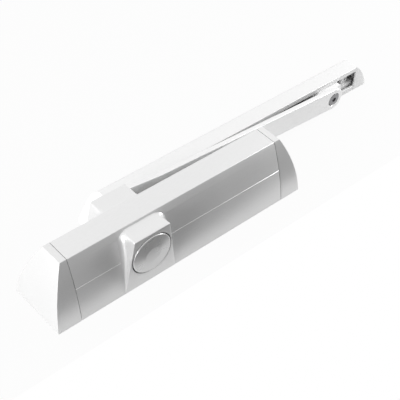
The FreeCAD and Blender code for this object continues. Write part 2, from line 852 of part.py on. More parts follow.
def make_ends():
    half = housing_half
    key = hex_prism("damping_plug_key", "x", s.plug_key, -half - s.over, -half + s.plug_key_depth, bore)
    way = rod("spring_plug_way", "x", s.screw_radius + s.fit, plug_inner - s.over, half + s.over, bore)
    seals = [make_plug("damping_end_plug", -1, key), make_plug("spring_end_plug", 1, way)]
    both = doc.addObject("Part::Compound", "plug_seals")
    both.Links = seals
    head_start = half + s.screw_end_play
    head_end = head_start + s.screw_head_length
    stem = rod("adjusting_screw_stem", "x", s.screw_radius, half - s.screw_length, head_start, bore)
    collar_right = collar_left + s.collar_length
    collar = rod("adjusting_screw_collar", "x", s.collar_radius, collar_left, collar_right, bore)
    head = rod("adjusting_screw_head", "x", s.screw_head_radius, head_start, head_end, bore)
    key_floor = head_end - s.screw_key_depth
    socket = hex_prism("adjusting_screw_key", "x", s.screw_key, key_floor, head_end + s.over, bore)
    cut("adjusting_screw", fuse("adjusting_screw_blank", stem, collar, head), socket)
    cut("spring_seat", rod("spring_seat_disc", "x", piston_radius, seat_left, seat_right, bore),
        rod("spring_seat_thread", "x", s.screw_radius + s.fit, seat_left - s.over, seat_right + s.over, bore))
    for label, side in (("closing", -1), ("latching", 1)):
        middle = side * half_spacing
        tip = -half + s.valve_length - s.valve_slot
        needle = rod(f"{label}_valve_body", "x", s.valve_radius, -half, tip, (middle, valve_z))
        wide = s.valve_radius + s.over
        slot = block(f"{label}_valve_slot", (-half - s.over, -half + s.valve_slot_depth),
                     (middle - wide, middle + wide), (valve_z - s.valve_slot / 2, valve_z + s.valve_slot / 2))
        cut(f"{label}_speed_valve", needle, slot)


def make_springs():
    coil("closing_spring", s.closing_wire_radius, s.closing_coil_radius, s.closing_turns,
         spring_face, seat_left, bore)
    coil("return_spring", s.return_wire_radius, s.return_coil_radius, s.return_turns,
         -plug_inner, damping_face, bore)


# Rail, its end caps and inserts

def rail_section(inset):
    """Outer section of the rail with one rounded far edge."""
    low = 0 if inset.value == 0 else -s.over
    high = s.rail_depth - inset
    curve = s.rail_round - inset
    far = rail_far - inset
    points = [(rail_face + inset, low), (far, low), (far, high - curve), (far - curve, high),
              (rail_face + inset, high)]
    return points, {2: quarter(curve)}


def make_rail():
    bar = prism("rail_bar", "YZ_Plane", rail_left, rail_right, *rail_section(size(0)))
    ends = (rail_left - s.over, rail_right + s.over)
    curve = channel_round
    channel = prism("rail_channel", "YZ_Plane", *ends,
                    [(channel_near, channel_low), (channel_far, channel_low),
                     (channel_far, channel_high - curve), (channel_far - curve, channel_high),
                     (channel_near, channel_high)],
                    {2: quarter(curve)})
    slot = block("rail_slot", ends, (rail_face - s.over, channel_near + s.over),
                 (slot_z - slot_half, slot_z + slot_half))
    return cut("rail", bar, channel, slot)


def rail_end_profile(side, inset):
    """Convex rail end from its cut face outwards."""
    start = rail_right if side > 0 else rail_left
    foot = start + side * (s.rail_cap_length - inset)
    top = start + side * s.insert_gap
    high = s.rail_depth - inset
    points = [(start, -s.over), (foot, -s.over), (foot, 0), (top, high), (start, high)]
    if side < 0:
        points = [points[0], *reversed(points[1:])]
    return points, {2: s.rail_cap_bulge}


def make_rail_end(label, side):
    start = rail_right if side > 0 else rail_left
    tip = start + side * s.rail_cap_length
    low, high = ordered(start, tip)
    across = (rail_face - s.over, rail_far + s.over)
    name = f"rail_end_cap_{label}"
    outer = shared(name + "_outer", prism(name + "_section", "YZ_Plane", low, high, *rail_section(size(0))),
                   prism(name + "_end", "XZ_Plane", *across, *rail_end_profile(side, size(0))))
    inner = shared(name + "_inner", prism(name + "_hollow", "YZ_Plane", low - s.over, high + s.over,
                                          *rail_section(s.rail_cap_wall)),
                   prism(name + "_inner_end", "XZ_Plane", *across, *rail_end_profile(side, s.rail_cap_wall)))
    cut(name, outer, inner)
    make_insert(label, side, start)


def make_insert(label, side, start):
    """Block in the channel end, with an upright tongue and a screw lug under the end cap."""
    name = f"rail_insert_{label}"

    def reach(first, second):
        return ordered(start + side * first, start + side * second)

    near = channel_near + s.insert_gap
    far = channel_far - s.insert_gap
    low = channel_low + s.insert_gap
    base = block(name + "_base", reach(-s.insert_length, s.insert_gap), (near, far),
                 (low, low + s.insert_base))
    tongue_start = s.tongue_inset - s.insert_length
    tongue = block(name + "_tongue", reach(tongue_start, tongue_start + s.tongue_width),
                   (near + s.tongue_set, near + s.tongue_set + s.tongue_thickness),
                   (low, channel_high - s.insert_gap))
    lug_side = s.rail_cap_wall + s.insert_gap
    lug = block(name + "_lug", reach(size(0), s.lug_length), (rail_face + lug_side, rail_far - lug_side),
                (0, s.lug_thickness))
    tongue_x = start + side * (tongue_start + s.tongue_width / 2)
    peep = rod(name + "_peep", "y", s.tongue_hole, near - s.over, far + s.over,
               (tongue_x, slot_z + slot_half / 2))
    fixing = rod(name + "_fixing", "z", s.lug_hole_radius, -s.over, s.lug_thickness + s.over,
                 (start + side * s.lug_hole_reach, (rail_face + rail_far) / 2))
    return cut(name, fuse(name + "_blank", base, tongue, lug), peep, fixing)


# Slide block on its pivot bolt

block_near = channel_near + s.block_gap
neck_near = arm_far + s.pivot_play + s.pivot_washer


def make_slider():
    def slab(label, length, y, tall):
        across = (pivot_x - length / 2, pivot_x + length / 2)
        return block(f"slide_block_{label}", across, y, (slot_z - tall, slot_z + tall))

    body = slab("body", s.block_length, (block_near, channel_far - channel_round),
                slot_half + s.lip_rise - s.block_gap)
    neck = slab("neck", s.neck_length, (neck_near, block_near), slot_half - s.block_gap)

    def upright(edge):
        box = edge.BoundBox
        return box.XLength < SAME and box.ZLength < SAME

    soft = rounded("slide_block_soft_neck", neck, s.neck_round, upright)
    thread = rod("slide_block_thread", "y", s.pivot_thread_radius + s.fit, neck_near - s.over,
                 neck_near + s.pivot_thread, pivot)
    cut("slide_block", fuse("slide_block_blank", body, soft), thread)


def make_pivot_bolt():
    head_far = arm_near + s.pivot_sink - s.pivot_play
    head_near = head_far - s.pivot_head
    head = rod("pivot_bolt_head", "y", s.pivot_head_radius, head_near, head_far, pivot)
    shoulder = rod("pivot_bolt_shoulder", "y", s.pivot_radius, head_far, neck_near, pivot)
    tip = neck_near + s.pivot_thread - s.over
    thread = rod("pivot_bolt_thread", "y", s.pivot_thread_radius, neck_near, tip, pivot)
    key_floor = head_near + s.pivot_key_depth
    key = hex_prism("pivot_bolt_key", "y", s.pivot_key, head_near - s.over, key_floor, pivot)
    cut("pivot_bolt", fuse("pivot_bolt_blank", head, shoulder, thread), key)
    low = arm_far + s.pivot_play
    cut("pivot_washer", rod("pivot_washer_disc", "y", s.pivot_washer_radius, low, neck_near, pivot),
        rod("pivot_washer_hole", "y", s.pivot_radius + s.fit, low - s.over, neck_near + s.over, pivot))


make_cover()
make_end_cap("end_cap_right", 0)
make_end_cap("end_cap_left", 180)
make_hood("spindle_hood", False)
make_hood("arm_hood", True)
make_housing()
make_bearing_set("near", -1)
make_bearing_set("far", 1)
make_spindle()
make_spindle_cap()
make_arm()
make_arm_screw()
make_pistons()
make_ends()
make_springs()
make_rail()
make_rail_end("left", -1)
make_rail_end("right", 1)
make_slider()
make_pivot_bolt()

NODES = (
    "housing", "cover", "end_cap_left", "end_cap_right", "spindle_hood", "arm_hood",
    "bearing_cover_near", "bearing_cover_far", "spindle_bearing_near", "spindle_bearing_far",
    "shaft_seal_near", "shaft_seal_far", "damping_end_plug", "spring_end_plug", "plug_seals",
    "spindle", "spindle_cap", "arm", "arm_washer", "arm_screw",
    "spring_piston", "spring_roller", "spring_roller_pin",
    "damping_piston", "damping_roller", "damping_roller_pin", "piston_check_valve",
    "closing_spring", "return_spring", "adjusting_screw", "spring_seat",
    "closing_speed_valve", "latching_speed_valve",
    "slide_block", "pivot_bolt", "pivot_washer",
    "rail", "rail_end_cap_left", "rail_end_cap_right", "rail_insert_left", "rail_insert_right",
)

doc.recompute()
for obj in doc.Objects:
    if "Invalid" in obj.State or "Error" in obj.State:
        raise RuntimeError(f"{obj.Label} failed to build: {obj.State}")
os.makedirs("parts", exist_ok=True)
for name in NODES:
    shape = doc.getObject(name).Shape
    if shape.isNull() or not shape.isValid() or not shape.Solids:
        raise RuntimeError(f"{name} has no valid solid")
for name in NODES:
    shape = doc.getObject(name).Shape
    shape.exportStep(f"parts/{name}.step")
    box = shape.BoundBox
    print(f"{name}: {len(shape.Solids)} solid, {shape.Volume:.0f} mm3, x {box.XMin:.2f} {box.XMax:.2f}, "
          f"y {box.YMin:.2f} {box.YMax:.2f}, z {box.ZMin:.2f} {box.ZMax:.2f}")
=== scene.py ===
# %% [markdown]
# # An overhead door closer with a slide rail
# The solids of the closer come from its CAD model and stay where they are. This lesson dresses them:
# each step rebuilds one visible piece with softer edges and a real finish, and lets it ride on the body
# that carries it, apart from the springs, which ride on none. Outer sizes are read from the frame, so that
# every piece stays where its solid is.

import json
import math

import bmesh
import bpy
import numpy as np
from mathutils import Matrix, Vector


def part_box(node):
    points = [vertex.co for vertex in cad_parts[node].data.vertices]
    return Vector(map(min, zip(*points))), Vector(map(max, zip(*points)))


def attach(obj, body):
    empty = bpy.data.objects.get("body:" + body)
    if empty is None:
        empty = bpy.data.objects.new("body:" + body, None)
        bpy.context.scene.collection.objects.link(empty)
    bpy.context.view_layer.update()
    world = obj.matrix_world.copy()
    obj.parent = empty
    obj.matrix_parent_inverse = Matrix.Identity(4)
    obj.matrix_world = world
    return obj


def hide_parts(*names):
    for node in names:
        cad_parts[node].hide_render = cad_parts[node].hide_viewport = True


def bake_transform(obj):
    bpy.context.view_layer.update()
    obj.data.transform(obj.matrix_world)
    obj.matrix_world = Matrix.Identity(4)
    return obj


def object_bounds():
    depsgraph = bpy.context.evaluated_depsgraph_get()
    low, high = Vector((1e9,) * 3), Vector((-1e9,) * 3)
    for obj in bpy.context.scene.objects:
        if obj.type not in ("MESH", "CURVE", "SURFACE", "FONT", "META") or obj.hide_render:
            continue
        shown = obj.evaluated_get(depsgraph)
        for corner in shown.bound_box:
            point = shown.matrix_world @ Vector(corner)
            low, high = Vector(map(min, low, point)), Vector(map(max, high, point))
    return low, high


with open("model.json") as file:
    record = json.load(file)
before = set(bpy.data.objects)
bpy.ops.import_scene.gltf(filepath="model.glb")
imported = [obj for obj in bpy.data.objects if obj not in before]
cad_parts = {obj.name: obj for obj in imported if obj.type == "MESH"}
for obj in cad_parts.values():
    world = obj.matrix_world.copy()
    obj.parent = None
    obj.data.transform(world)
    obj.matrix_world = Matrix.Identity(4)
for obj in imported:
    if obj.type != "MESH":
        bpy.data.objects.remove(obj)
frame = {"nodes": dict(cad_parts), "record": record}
cad_low, cad_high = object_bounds()
scene = bpy.context.scene
scene.view_settings.view_transform = "Standard"
MM = 0.001
MERGE = 0.001 * MM


def box_mm(node):
    """Lowest and highest corner of a CAD node, in millimetres."""
    low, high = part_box(node)
    return Vector(low) / MM, Vector(high) / MM


print("CAD box in mm:", [round(v / MM, 1) for v in (*cad_low, *cad_high)])

# %% [markdown]
# ## Camera
# The photograph looks down on the closer from the spindle side. Matching known corners of
# the body to their places in the picture gave the camera's place, direction and lens.

# %% Place the camera
CAMERA_PLACE = Vector((-409.8, -445.0, 638.9)) * MM
VIEW_DIRECTION = Vector((0.5078, 0.5040, -0.6987)).normalized()
VIEW_RIGHT = Vector((0.7469, -0.6617, 0.0656))
LENS_MM = 89.29

view_right = (VIEW_RIGHT - VIEW_DIRECTION * VIEW_RIGHT.dot(VIEW_DIRECTION)).normalized()
view_up = view_right.cross(VIEW_DIRECTION)
camera_data = bpy.data.cameras.new("camera")
camera_data.lens = LENS_MM
camera_data.clip_start = 0.01
camera = bpy.data.objects.new("camera", camera_data)
camera.matrix_world = Matrix(
    [(view_right[i], view_up[i], -VIEW_DIRECTION[i], CAMERA_PLACE[i]) for i in range(3)] + [(0, 0, 0, 1)]
)
scene.collection.objects.link(camera)
scene.camera = camera
print("camera looks along", [round(v, 3) for v in VIEW_DIRECTION])

# %% [markdown]
# ## Finishes
# The real closer is silver lacquer over aluminium and zinc, with moulded caps in the same tone.
# Such a lacquer is fine metal flakes in a clear binder, so it is part metal and part matt: each finish mixes
# two close tones with a fine grain, ripples the surface a little with the same grain, and varies the gloss
# with slow clouds, as handled metal does. Stretching the grain along X gives the faint lines of an extrusion.

# %% Recipe for a finish
NOISE_LOW, NOISE_HIGH = 0.3, 0.7
FLAKE_DETAIL = 3.0
CLOUD_SCALE = 35.0
CLOUD_DETAIL = 4.0
RIPPLE_HEIGHT = 0.05 * MM
FINISH = {}


def finish(name, dark, light, gloss, metal, grain=1500.0, stretch=(1.0, 1.0, 1.0), bump=0.04):
    """Two tones mixed by a fine grain; gloss is the low and high roughness."""
    material = bpy.data.materials.new(name)
    material.use_nodes = True
    nodes = material.node_tree.nodes
    links = material.node_tree.links
    shader = nodes["Principled BSDF"]
    shader.inputs["Metallic"].default_value = metal
    place = nodes.new("ShaderNodeTexCoord")
    mapping = nodes.new("ShaderNodeMapping")
    mapping.inputs["Scale"].default_value = stretch
    links.new(place.outputs["Object"], mapping.inputs["Vector"])
    flakes = nodes.new("ShaderNodeTexNoise")
    flakes.inputs["Scale"].default_value = grain
    flakes.inputs["Detail"].default_value = FLAKE_DETAIL
    links.new(mapping.outputs["Vector"], flakes.inputs["Vector"])
    tone = nodes.new("ShaderNodeValToRGB")
    tone.color_ramp.elements[0].position = NOISE_LOW
    tone.color_ramp.elements[1].position = NOISE_HIGH
    tone.color_ramp.elements[0].color = (*dark, 1.0)
    tone.color_ramp.elements[1].color = (*light, 1.0)
    links.new(flakes.outputs["Fac"], tone.inputs["Fac"])
    links.new(tone.outputs["Color"], shader.inputs["Base Color"])
    clouds = nodes.new("ShaderNodeTexNoise")
    clouds.inputs["Scale"].default_value = CLOUD_SCALE
    clouds.inputs["Detail"].default_value = CLOUD_DETAIL
    links.new(place.outputs["Object"], clouds.inputs["Vector"])
    rough = nodes.new("ShaderNodeMapRange")
    rough.inputs["From Min"].default_value = NOISE_LOW
    rough.inputs["From Max"].default_value = NOISE_HIGH
    rough.inputs["To Min"].default_value = gloss[0]
    rough.inputs["To Max"].default_value = gloss[1]
    links.new(clouds.outputs["Fac"], rough.inputs["Value"])
    links.new(rough.outputs["Result"], shader.inputs["Roughness"])
    ripple = nodes.new("ShaderNodeBump")
    ripple.inputs["Strength"].default_value = bump
    ripple.inputs["Distance"].default_value = RIPPLE_HEIGHT
    links.new(flakes.outputs["Fac"], ripple.inputs["Height"])
    links.new(ripple.outputs["Normal"], shader.inputs["Normal"])
    FINISH[name] = material


# %% Build the finishes
def grey(value, tint=0.0):
    """A grey, with a little blue in it where there is a tint."""
    return (value, value, value * (1.0 + tint))


DRAWN_ALONG_X = {"grain": 900.0, "stretch": (0.25, 1.0, 1.0)}
finish("silver_cover", grey(0.755), grey(0.775), (0.40, 0.46), metal=0.45, bump=0.02, **DRAWN_ALONG_X)
finish("silver_moulding", grey(0.76), grey(0.80), (0.34, 0.42), metal=0.45, bump=0.03)
finish("bright_cap", grey(0.70), grey(0.74), (0.24, 0.32), metal=0.5, bump=0.03)
finish("silver_arm", grey(0.84), grey(0.87), (0.34, 0.42), metal=0.6, bump=0.02, **DRAWN_ALONG_X)
finish("rail_silver", grey(0.79), grey(0.82), (0.36, 0.42), metal=0.25, bump=0.02, **DRAWN_ALONG_X)
# Painted shade: a dark grey for the faces inside the rail's channel, which are finished like its outside and
# only lie in shadow.
finish("channel_painted_shade", grey(0.20), grey(0.28), (0.42, 0.55), metal=0.7, bump=0.1, **DRAWN_ALONG_X)
finish("rail_plastic", grey(0.85), grey(0.91), (0.42, 0.52), metal=0.0, grain=1200.0, bump=0.12)
finish("housing_metal", grey(0.42), grey(0.55), (0.45, 0.65), metal=0.8, grain=700.0, bump=0.5)
finish("steel", grey(0.48), grey(0.58), (0.22, 0.36), metal=1.0)
finish("zinc_steel", grey(0.24, 0.02), grey(0.31, 0.03), (0.26, 0.42), metal=1.0, grain=1100.0)
finish("seal_rubber", grey(0.015), grey(0.03), (0.55, 0.75), metal=0.0)
finish("brass", (0.55, 0.38, 0.14), (0.66, 0.47, 0.18), (0.24, 0.38), metal=1.0)
print(len(FINISH), "finishes")

# %% Dress the CAD nodes
SLOT = {row["node"]: row["material_slot"] for row in frame["record"]["subparts"]}
for node, slot in SLOT.items():
    mesh = frame["nodes"][node].data
    mesh.materials.clear()
    mesh.materials.append(FINISH[slot])
print(len(SLOT), "nodes have a finish")

# %% [markdown]
# ## Small tools
# Most pieces are sheets of quads whose points follow a rule, pieces turned about an axis, or flat outlines
# with a rounded edge. These helpers build them in millimetres and hand them over in metres.

# %% Points and sheets
def grid(rows):
    """Quads between rows of points."""
    wide = len(rows[0])
    verts = [point for row in rows for point in row]
    faces = [
        (i * wide + j, i * wide + j + 1, (i + 1) * wide + j + 1, (i + 1) * wide + j)
        for i in range(len(rows) - 1)
        for j in range(wide - 1)
    ]
    return verts, faces


def joined(*sheets):
    """Several sheets of quads as one list of points and faces."""
    verts = []
    faces = []
    for points, quads in sheets:
        start = len(verts)
        verts += points
        faces += [tuple(i + start for i in quad) for quad in quads]
    return verts, faces


def in_xz(u, v, depth):
    """Outline in the XZ plane, depth along Y."""
    return (u, depth, v)


def in_xy(u, v, depth):
    """Outline in the XY plane, depth along Z."""
    return (u, v, depth)


def lathe(profile, centre, put=in_xz, steps=72):
    """Profile of (radius, depth) turned about a line through centre; put turns (u, v, depth) into a point."""
    angles = [2 * math.pi * (i % steps) / steps for i in range(steps + 1)]
    return grid([
        [put(centre[0] + radius * math.cos(a), centre[1] + radius * math.sin(a), depth) for a in angles]
        for radius, depth in profile
    ])


def soft_corners(points, radii, steps=5):
    """Polygon with each corner rounded by its own radius."""
    result = []
    for i, point in enumerate(points):
        radius = radii[i]
        here = Vector(point)
        if not radius:
            result.append(tuple(here))
            continue
        back = (Vector(points[i - 1]) - here).normalized()
        ahead = (Vector(points[(i + 1) % len(points)]) - here).normalized()
        half = back.angle(ahead) / 2
        centre = here + (back + ahead).normalized() * (radius / math.sin(half))
        first = here + back * (radius / math.tan(half)) - centre
        last = here + ahead * (radius / math.tan(half)) - centre
        sweep = first.angle_signed(last)
        for k in range(steps + 1):
            turn = -sweep * k / steps
            cos, sin = math.cos(turn), math.sin(turn)
            ahead_x = first.x * cos - first.y * sin
            ahead_y = first.x * sin + first.y * cos
            result.append((centre.x + ahead_x, centre.y + ahead_y))
    return result


SHARPEST = 0.3


def inset_loop(points, amount):
    """Closed counter-clockwise outline moved inwards by amount; SHARPEST limits the move at a point."""
    moved = []
    for i, point in enumerate(points):
        here = Vector(point)
        before = (here - Vector(points[i - 1])).normalized()
        after = (Vector(points[(i + 1) % len(points)]) - here).normalized()
        inward = Vector((-(before.y + after.y), before.x + after.x)).normalized()
        share = max(SHARPEST, inward.dot(Vector((-before.y, before.x))))
        moved.append(tuple(here + inward * (amount / share)))
    return moved


def plate(outline, near, far, edge, put=in_xz, steps=4):
    """Flat outline with rounded rims between two depths."""
    levels = []
    for i in range(steps + 1):
        angle = math.pi / 2 * i / steps
        levels.append((edge * (1 - math.sin(angle)), near + edge * (1 - math.cos(angle))))
    levels += [(inset, near + far - depth) for inset, depth in reversed(levels)]
    rows = []
    for inset, depth in levels:
        loop = inset_loop(outline, inset) if inset > 1e-6 else outline
        rows.append([put(u, v, depth) for u, v in [*loop, loop[0]]])
    verts, faces = grid(rows)
    wide = len(outline) + 1
    faces.append(tuple(range(wide - 1)))
    faces.append(tuple(range(len(verts) - wide, len(verts) - 1)))
    return verts, faces


def soft_bar(x, y, z, corner, edge):
    """Block between the low and high value on each axis, with rounded corners and edges."""
    square = [(x[0], z[0]), (x[1], z[0]), (x[1], z[1]), (x[0], z[1])]
    return plate(soft_corners(square, [corner] * 4), y[0], y[1], edge)


def hexagon(centre, across_flats):
    """Outline of a tool socket."""
    reach = across_flats / math.sqrt(3)
    turns = [math.pi / 3 * k for k in range(6)]
    return [(centre[0] + reach * math.cos(a), centre[1] + reach * math.sin(a)) for a in turns]


# %% Pieces from points and finishing steps
def new_piece(name, verts, faces, facing=None):
    """Object of points in millimetres, merged; facing is where the foremost face of an open shell looks."""
    mesh = bpy.data.meshes.new(name)
    mesh.from_pydata([Vector(v) * MM for v in verts], [], faces)
    work = bmesh.new()
    work.from_mesh(mesh)
    bmesh.ops.remove_doubles(work, verts=work.verts, dist=MERGE)
    bmesh.ops.dissolve_degenerate(work, edges=work.edges, dist=MERGE / 2)
    bmesh.ops.recalc_face_normals(work, faces=work.faces)
    if facing:
        look = Vector(facing)
        front = max(work.faces, key=lambda face: face.calc_center_median().dot(look))
        if front.normal.dot(look) < 0:
            bmesh.ops.reverse_faces(work, faces=work.faces)
    work.to_mesh(mesh)
    work.free()
    piece = bpy.data.objects.new(name, mesh)
    scene.collection.objects.link(piece)
    return piece


def settle(piece, sharp=30.0):
    """Makes the modifiers part of the mesh; faces are smooth except across sharp edges."""
    bpy.context.view_layer.update()
    graph = bpy.context.evaluated_depsgraph_get()
    mesh = bpy.data.meshes.new_from_object(piece.evaluated_get(graph))
    piece.modifiers.clear()
    piece.data = mesh
    mesh.name = piece.name
    mesh.shade_smooth()
    mesh.set_sharp_from_angle(angle=math.radians(sharp))


def combine(piece, operation, verts, faces):
    """Adds another shape to the piece, or cuts it away."""
    other = new_piece(operation.lower(), verts, faces)
    step = piece.modifiers.new(operation.lower(), "BOOLEAN")
    step.operation = operation
    step.solver = "EXACT"
    step.object = other
    settle(piece)
    bpy.data.objects.remove(other)


def soften(piece, width, segments, angle):
    """Small rounds on the sharp edges."""
    step = piece.modifiers.new("soft edges", "BEVEL")
    step.width = width * MM
    step.segments = segments
    step.angle_limit = math.radians(angle)


def thicken(piece, wall):
    """Gives an open shell its wall, inwards."""
    step = piece.modifiers.new("wall", "SOLIDIFY")
    step.thickness = wall * MM
    step.use_even_offset = True


def stand(piece):
    """Brings points that the wall pushed past the mounting plane back up to it."""
    for vertex in piece.data.vertices:
        vertex.co.z = max(vertex.co.z, 0.0)


def dress(piece, node):
    """The finished piece stands for a CAD node, in that node's finish."""
    slot = SLOT[node]
    piece.data.materials.clear()
    piece.data.materials.append(FINISH[slot])
    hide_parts(node)
    print(piece.name, "has", len(piece.data.polygons), "faces")


def hand_over(piece, body, node):
    """The finished piece is dressed and rides on its body."""
    dress(piece, node)
    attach(piece, body)


# %% [markdown]
# ## Cover
# The cover is an aluminium extrusion: one section, the same all along. A tree of Geometry Nodes that pulls
# a flat section out to a length says exactly that, and serves the rail as well.
# The section has a flat front strip, two gently bowed sides and a fine groove along each of them.

# %% Geometry Nodes tree for an extruded section
def make_extrusion_tree():
    """Pulls a flat section out along X, keeps its first face as the near end, and closes the seams."""
    tree = bpy.data.node_groups.new("extruded_section", "GeometryNodeTree")
    face = tree.interface
    face.new_socket("Section", in_out="INPUT", socket_type="NodeSocketGeometry")
    face.new_socket("Length", in_out="INPUT", socket_type="NodeSocketFloat")
    face.new_socket("Material", in_out="INPUT", socket_type="NodeSocketMaterial")
    face.new_socket("Extrusion", in_out="OUTPUT", socket_type="NodeSocketGeometry")
    nodes = tree.nodes
    links = tree.links
    source = nodes.new("NodeGroupInput")
    result = nodes.new("NodeGroupOutput")
    pull = nodes.new("GeometryNodeExtrudeMesh")
    pull.inputs["Individual"].default_value = False
    along = nodes.new("ShaderNodeCombineXYZ")
    close = nodes.new("GeometryNodeFlipFaces")
    both = nodes.new("GeometryNodeJoinGeometry")
    merge = nodes.new("GeometryNodeMergeByDistance")
    merge.inputs["Distance"].default_value = MERGE
    real = nodes.new("GeometryNodeRealizeInstances")
    paint = nodes.new("GeometryNodeSetMaterial")
    links.new(source.outputs["Length"], along.inputs["X"])
    links.new(source.outputs["Section"], pull.inputs["Mesh"])
    links.new(along.outputs["Vector"], pull.inputs["Offset"])
    links.new(source.outputs["Section"], close.inputs["Mesh"])
    links.new(pull.outputs["Mesh"], both.inputs["Geometry"])
    links.new(close.outputs["Mesh"], both.inputs["Geometry"])
    links.new(both.outputs["Geometry"], merge.inputs["Geometry"])
    links.new(merge.outputs["Geometry"], real.inputs["Geometry"])
    links.new(real.outputs["Geometry"], paint.inputs["Geometry"])
    links.new(source.outputs["Material"], paint.inputs["Material"])
    links.new(paint.outputs["Geometry"], result.inputs["Extrusion"])
    return tree


EXTRUSION = make_extrusion_tree()


def grow(piece, tree, **values):
    """Runs a tree on a piece with its named inputs set, and keeps the mesh."""
    step = piece.modifiers.new(tree.name, "NODES")
    step.node_group = tree
    for item in tree.interface.items_tree:
        if item.in_out == "INPUT" and item.name in values:
            step[item.identifier] = values[item.name]
    settle(piece)


def extrude(name, section, start, end, node):
    """Closed section of (y, z) points, extruded along X."""
    loop = [(start, y, z) for y, z in section]
    piece = new_piece(name, loop, [tuple(range(len(loop)))], facing=(1, 0, 0))
    grow(piece, EXTRUSION, Length=(end - start) * MM, Material=FINISH[SLOT[node]])
    return piece


# %% Section of the body
COVER_LOW, COVER_HIGH = box_mm("cover")
BODY_DEPTH = COVER_HIGH.z
BODY_HALF_WIDTH = COVER_HIGH.y
STRIP_HALF = 11.5
STRIP_EDGE = 0.7
SIDE_BOW = 2.3
COVER_WALL = 1.8
GROOVE_HEIGHT = BODY_DEPTH - 26.3
GROOVE_HALF = 0.4
GROOVE_FLOOR_HALF = 0.2
GROOVE_DEPTH = 0.22
GROOVE_CLEAR = 1.5
STRIP_RUN = 4.0
SIDE_STEPS = 18


def bowed(start, end, rise, count=200):
    """Points of a shallow arc from start to end that swells to the right of its course."""
    first = Vector(start)
    run = Vector(end) - first
    side = Vector((run.y, -run.x)).normalized()
    shares = [i / count for i in range(count + 1)]
    return [tuple(first + run * s + side * (4 * rise * s * (1 - s))) for s in shares]


SIDE = bowed((BODY_HALF_WIDTH, 0.0), (STRIP_HALF, BODY_DEPTH), SIDE_BOW)
SIDE_LEAN = math.hypot(BODY_HALF_WIDTH - STRIP_HALF, BODY_DEPTH) / BODY_DEPTH


def read_off(curve, height):
    """First coordinate of a rising curve at a height."""
    return float(np.interp(height, [p[1] for p in curve], [p[0] for p in curve]))


def side_at(height, inset=0.0):
    """Half width of the body at a height."""
    return read_off(SIDE, height) - inset * SIDE_LEAN


def half_section():
    """Outer points of one side from the foot to the strip, with the groove."""
    round_from = BODY_DEPTH - STRIP_RUN
    heights = [BODY_DEPTH * i / SIDE_STEPS for i in range(SIDE_STEPS)]
    plain = [z for z in heights if abs(z - GROOVE_HEIGHT) > GROOVE_CLEAR and z < round_from]
    points = [(side_at(z), z) for z in plain]
    for up, deep in ((GROOVE_HALF, 0.0), (GROOVE_FLOOR_HALF, GROOVE_DEPTH)):
        for z in (GROOVE_HEIGHT - up, GROOVE_HEIGHT + up):
            points.append((side_at(z) - deep, z))
    points.sort(key=lambda p: p[1])
    top = [(side_at(round_from), round_from), (STRIP_HALF, BODY_DEPTH), (0.0, BODY_DEPTH)]
    return points + soft_corners(top, [0, STRIP_EDGE, 0])[:-1]


# %% Cover
outer_half = half_section()
inner_half = [(side_at(z, COVER_WALL), z) for z in np.linspace(0.0, BODY_DEPTH - COVER_WALL, 12)]
cover_section = outer_half + [(-y, z) for y, z in reversed(outer_half)]
cover_section += [(-y, z) for y, z in inner_half] + list(reversed(inner_half))
cover = extrude("cover_shell", cover_section, COVER_LOW.x, COVER_HIGH.x, "cover")

CAP_LOW, CAP_HIGH = box_mm("spindle_cap")
SPINDLE = ((CAP_LOW.x + CAP_HIGH.x) / 2, (CAP_LOW.z + CAP_HIGH.z) / 2)
NOTCH_HALF = 18.5
NOTCH_REACH = 40.0
NOTCH_FOOT = -2.0
across = (SPINDLE[0] - NOTCH_HALF, SPINDLE[0] + NOTCH_HALF)
through = (-NOTCH_REACH, NOTCH_REACH)
upright = (NOTCH_FOOT, SPINDLE[1] + NOTCH_HALF)
combine(cover, "DIFFERENCE", *soft_bar(across, through, upright, corner=0.5, edge=0.2))
soften(cover, width=0.2, segments=2, angle=60)
settle(cover)
hand_over(cover, "closer_body", "cover")

# %% [markdown]
# ## End caps
# Each end of the body is a moulded cap with the body's section, cut off by a convex, leaning end.
# Sheets of quads follow that rule exactly; Solidify gives the wall and Bevel the soft edges.

# %% End caps of the body
END_LOW, END_HIGH = box_mm("end_cap_right")
SEAM_X = END_LOW.x
END_LEAN = 16.5
END_BOW = 3.4
END_WALL = 2.0
END = bowed((END_HIGH.x, 0.0), (END_HIGH.x - END_LEAN, BODY_DEPTH), END_BOW)


def end_cap(name, sign, node):
    """sign is 1 for the right end and -1 for the left end."""
    heights = np.linspace(0.0, BODY_DEPTH, 25)
    shares = np.linspace(0.0, 1.0, 9)
    across = np.linspace(-1.0, 1.0, 25)

    def out(z, share):
        return sign * (SEAM_X + (read_off(END, z) - SEAM_X) * share)

    sheets = []
    for side in (-1, 1):
        sheets.append(grid([[(out(z, t), side * side_at(z), z) for t in shares] for z in heights]))
    sheets.append(grid([[(out(z, 1.0), side_at(z) * a, z) for a in across] for z in heights]))
    sheets.append(grid([[(out(BODY_DEPTH, t), STRIP_HALF * a, BODY_DEPTH) for t in shares] for a in across]))
    cap = new_piece(name, *joined(*sheets), facing=(sign, 0, 0))
    thicken(cap, END_WALL)
    soften(cap, width=0.8, segments=3, angle=35)
    settle(cap)
    stand(cap)
    hand_over(cap, "closer_body", node)


end_cap("end_cap_right_shell", 1, "end_cap_right")
end_cap("end_cap_left_shell", -1, "end_cap_left")

# %% [markdown]
# ## Hoods
# A moulded hood covers each end of the spindle. Its front is a plane with a round hole, its top is just under
# the strip, and its flanks flow into the side of the body. Each column of points starts on the front's rim,
# runs back to the body and turns outwards there in a quarter round, so that the flank meets the body in a
# soft hollow. The depth of a column is the distance to the bowed side, so the flanks taper out at the foot.

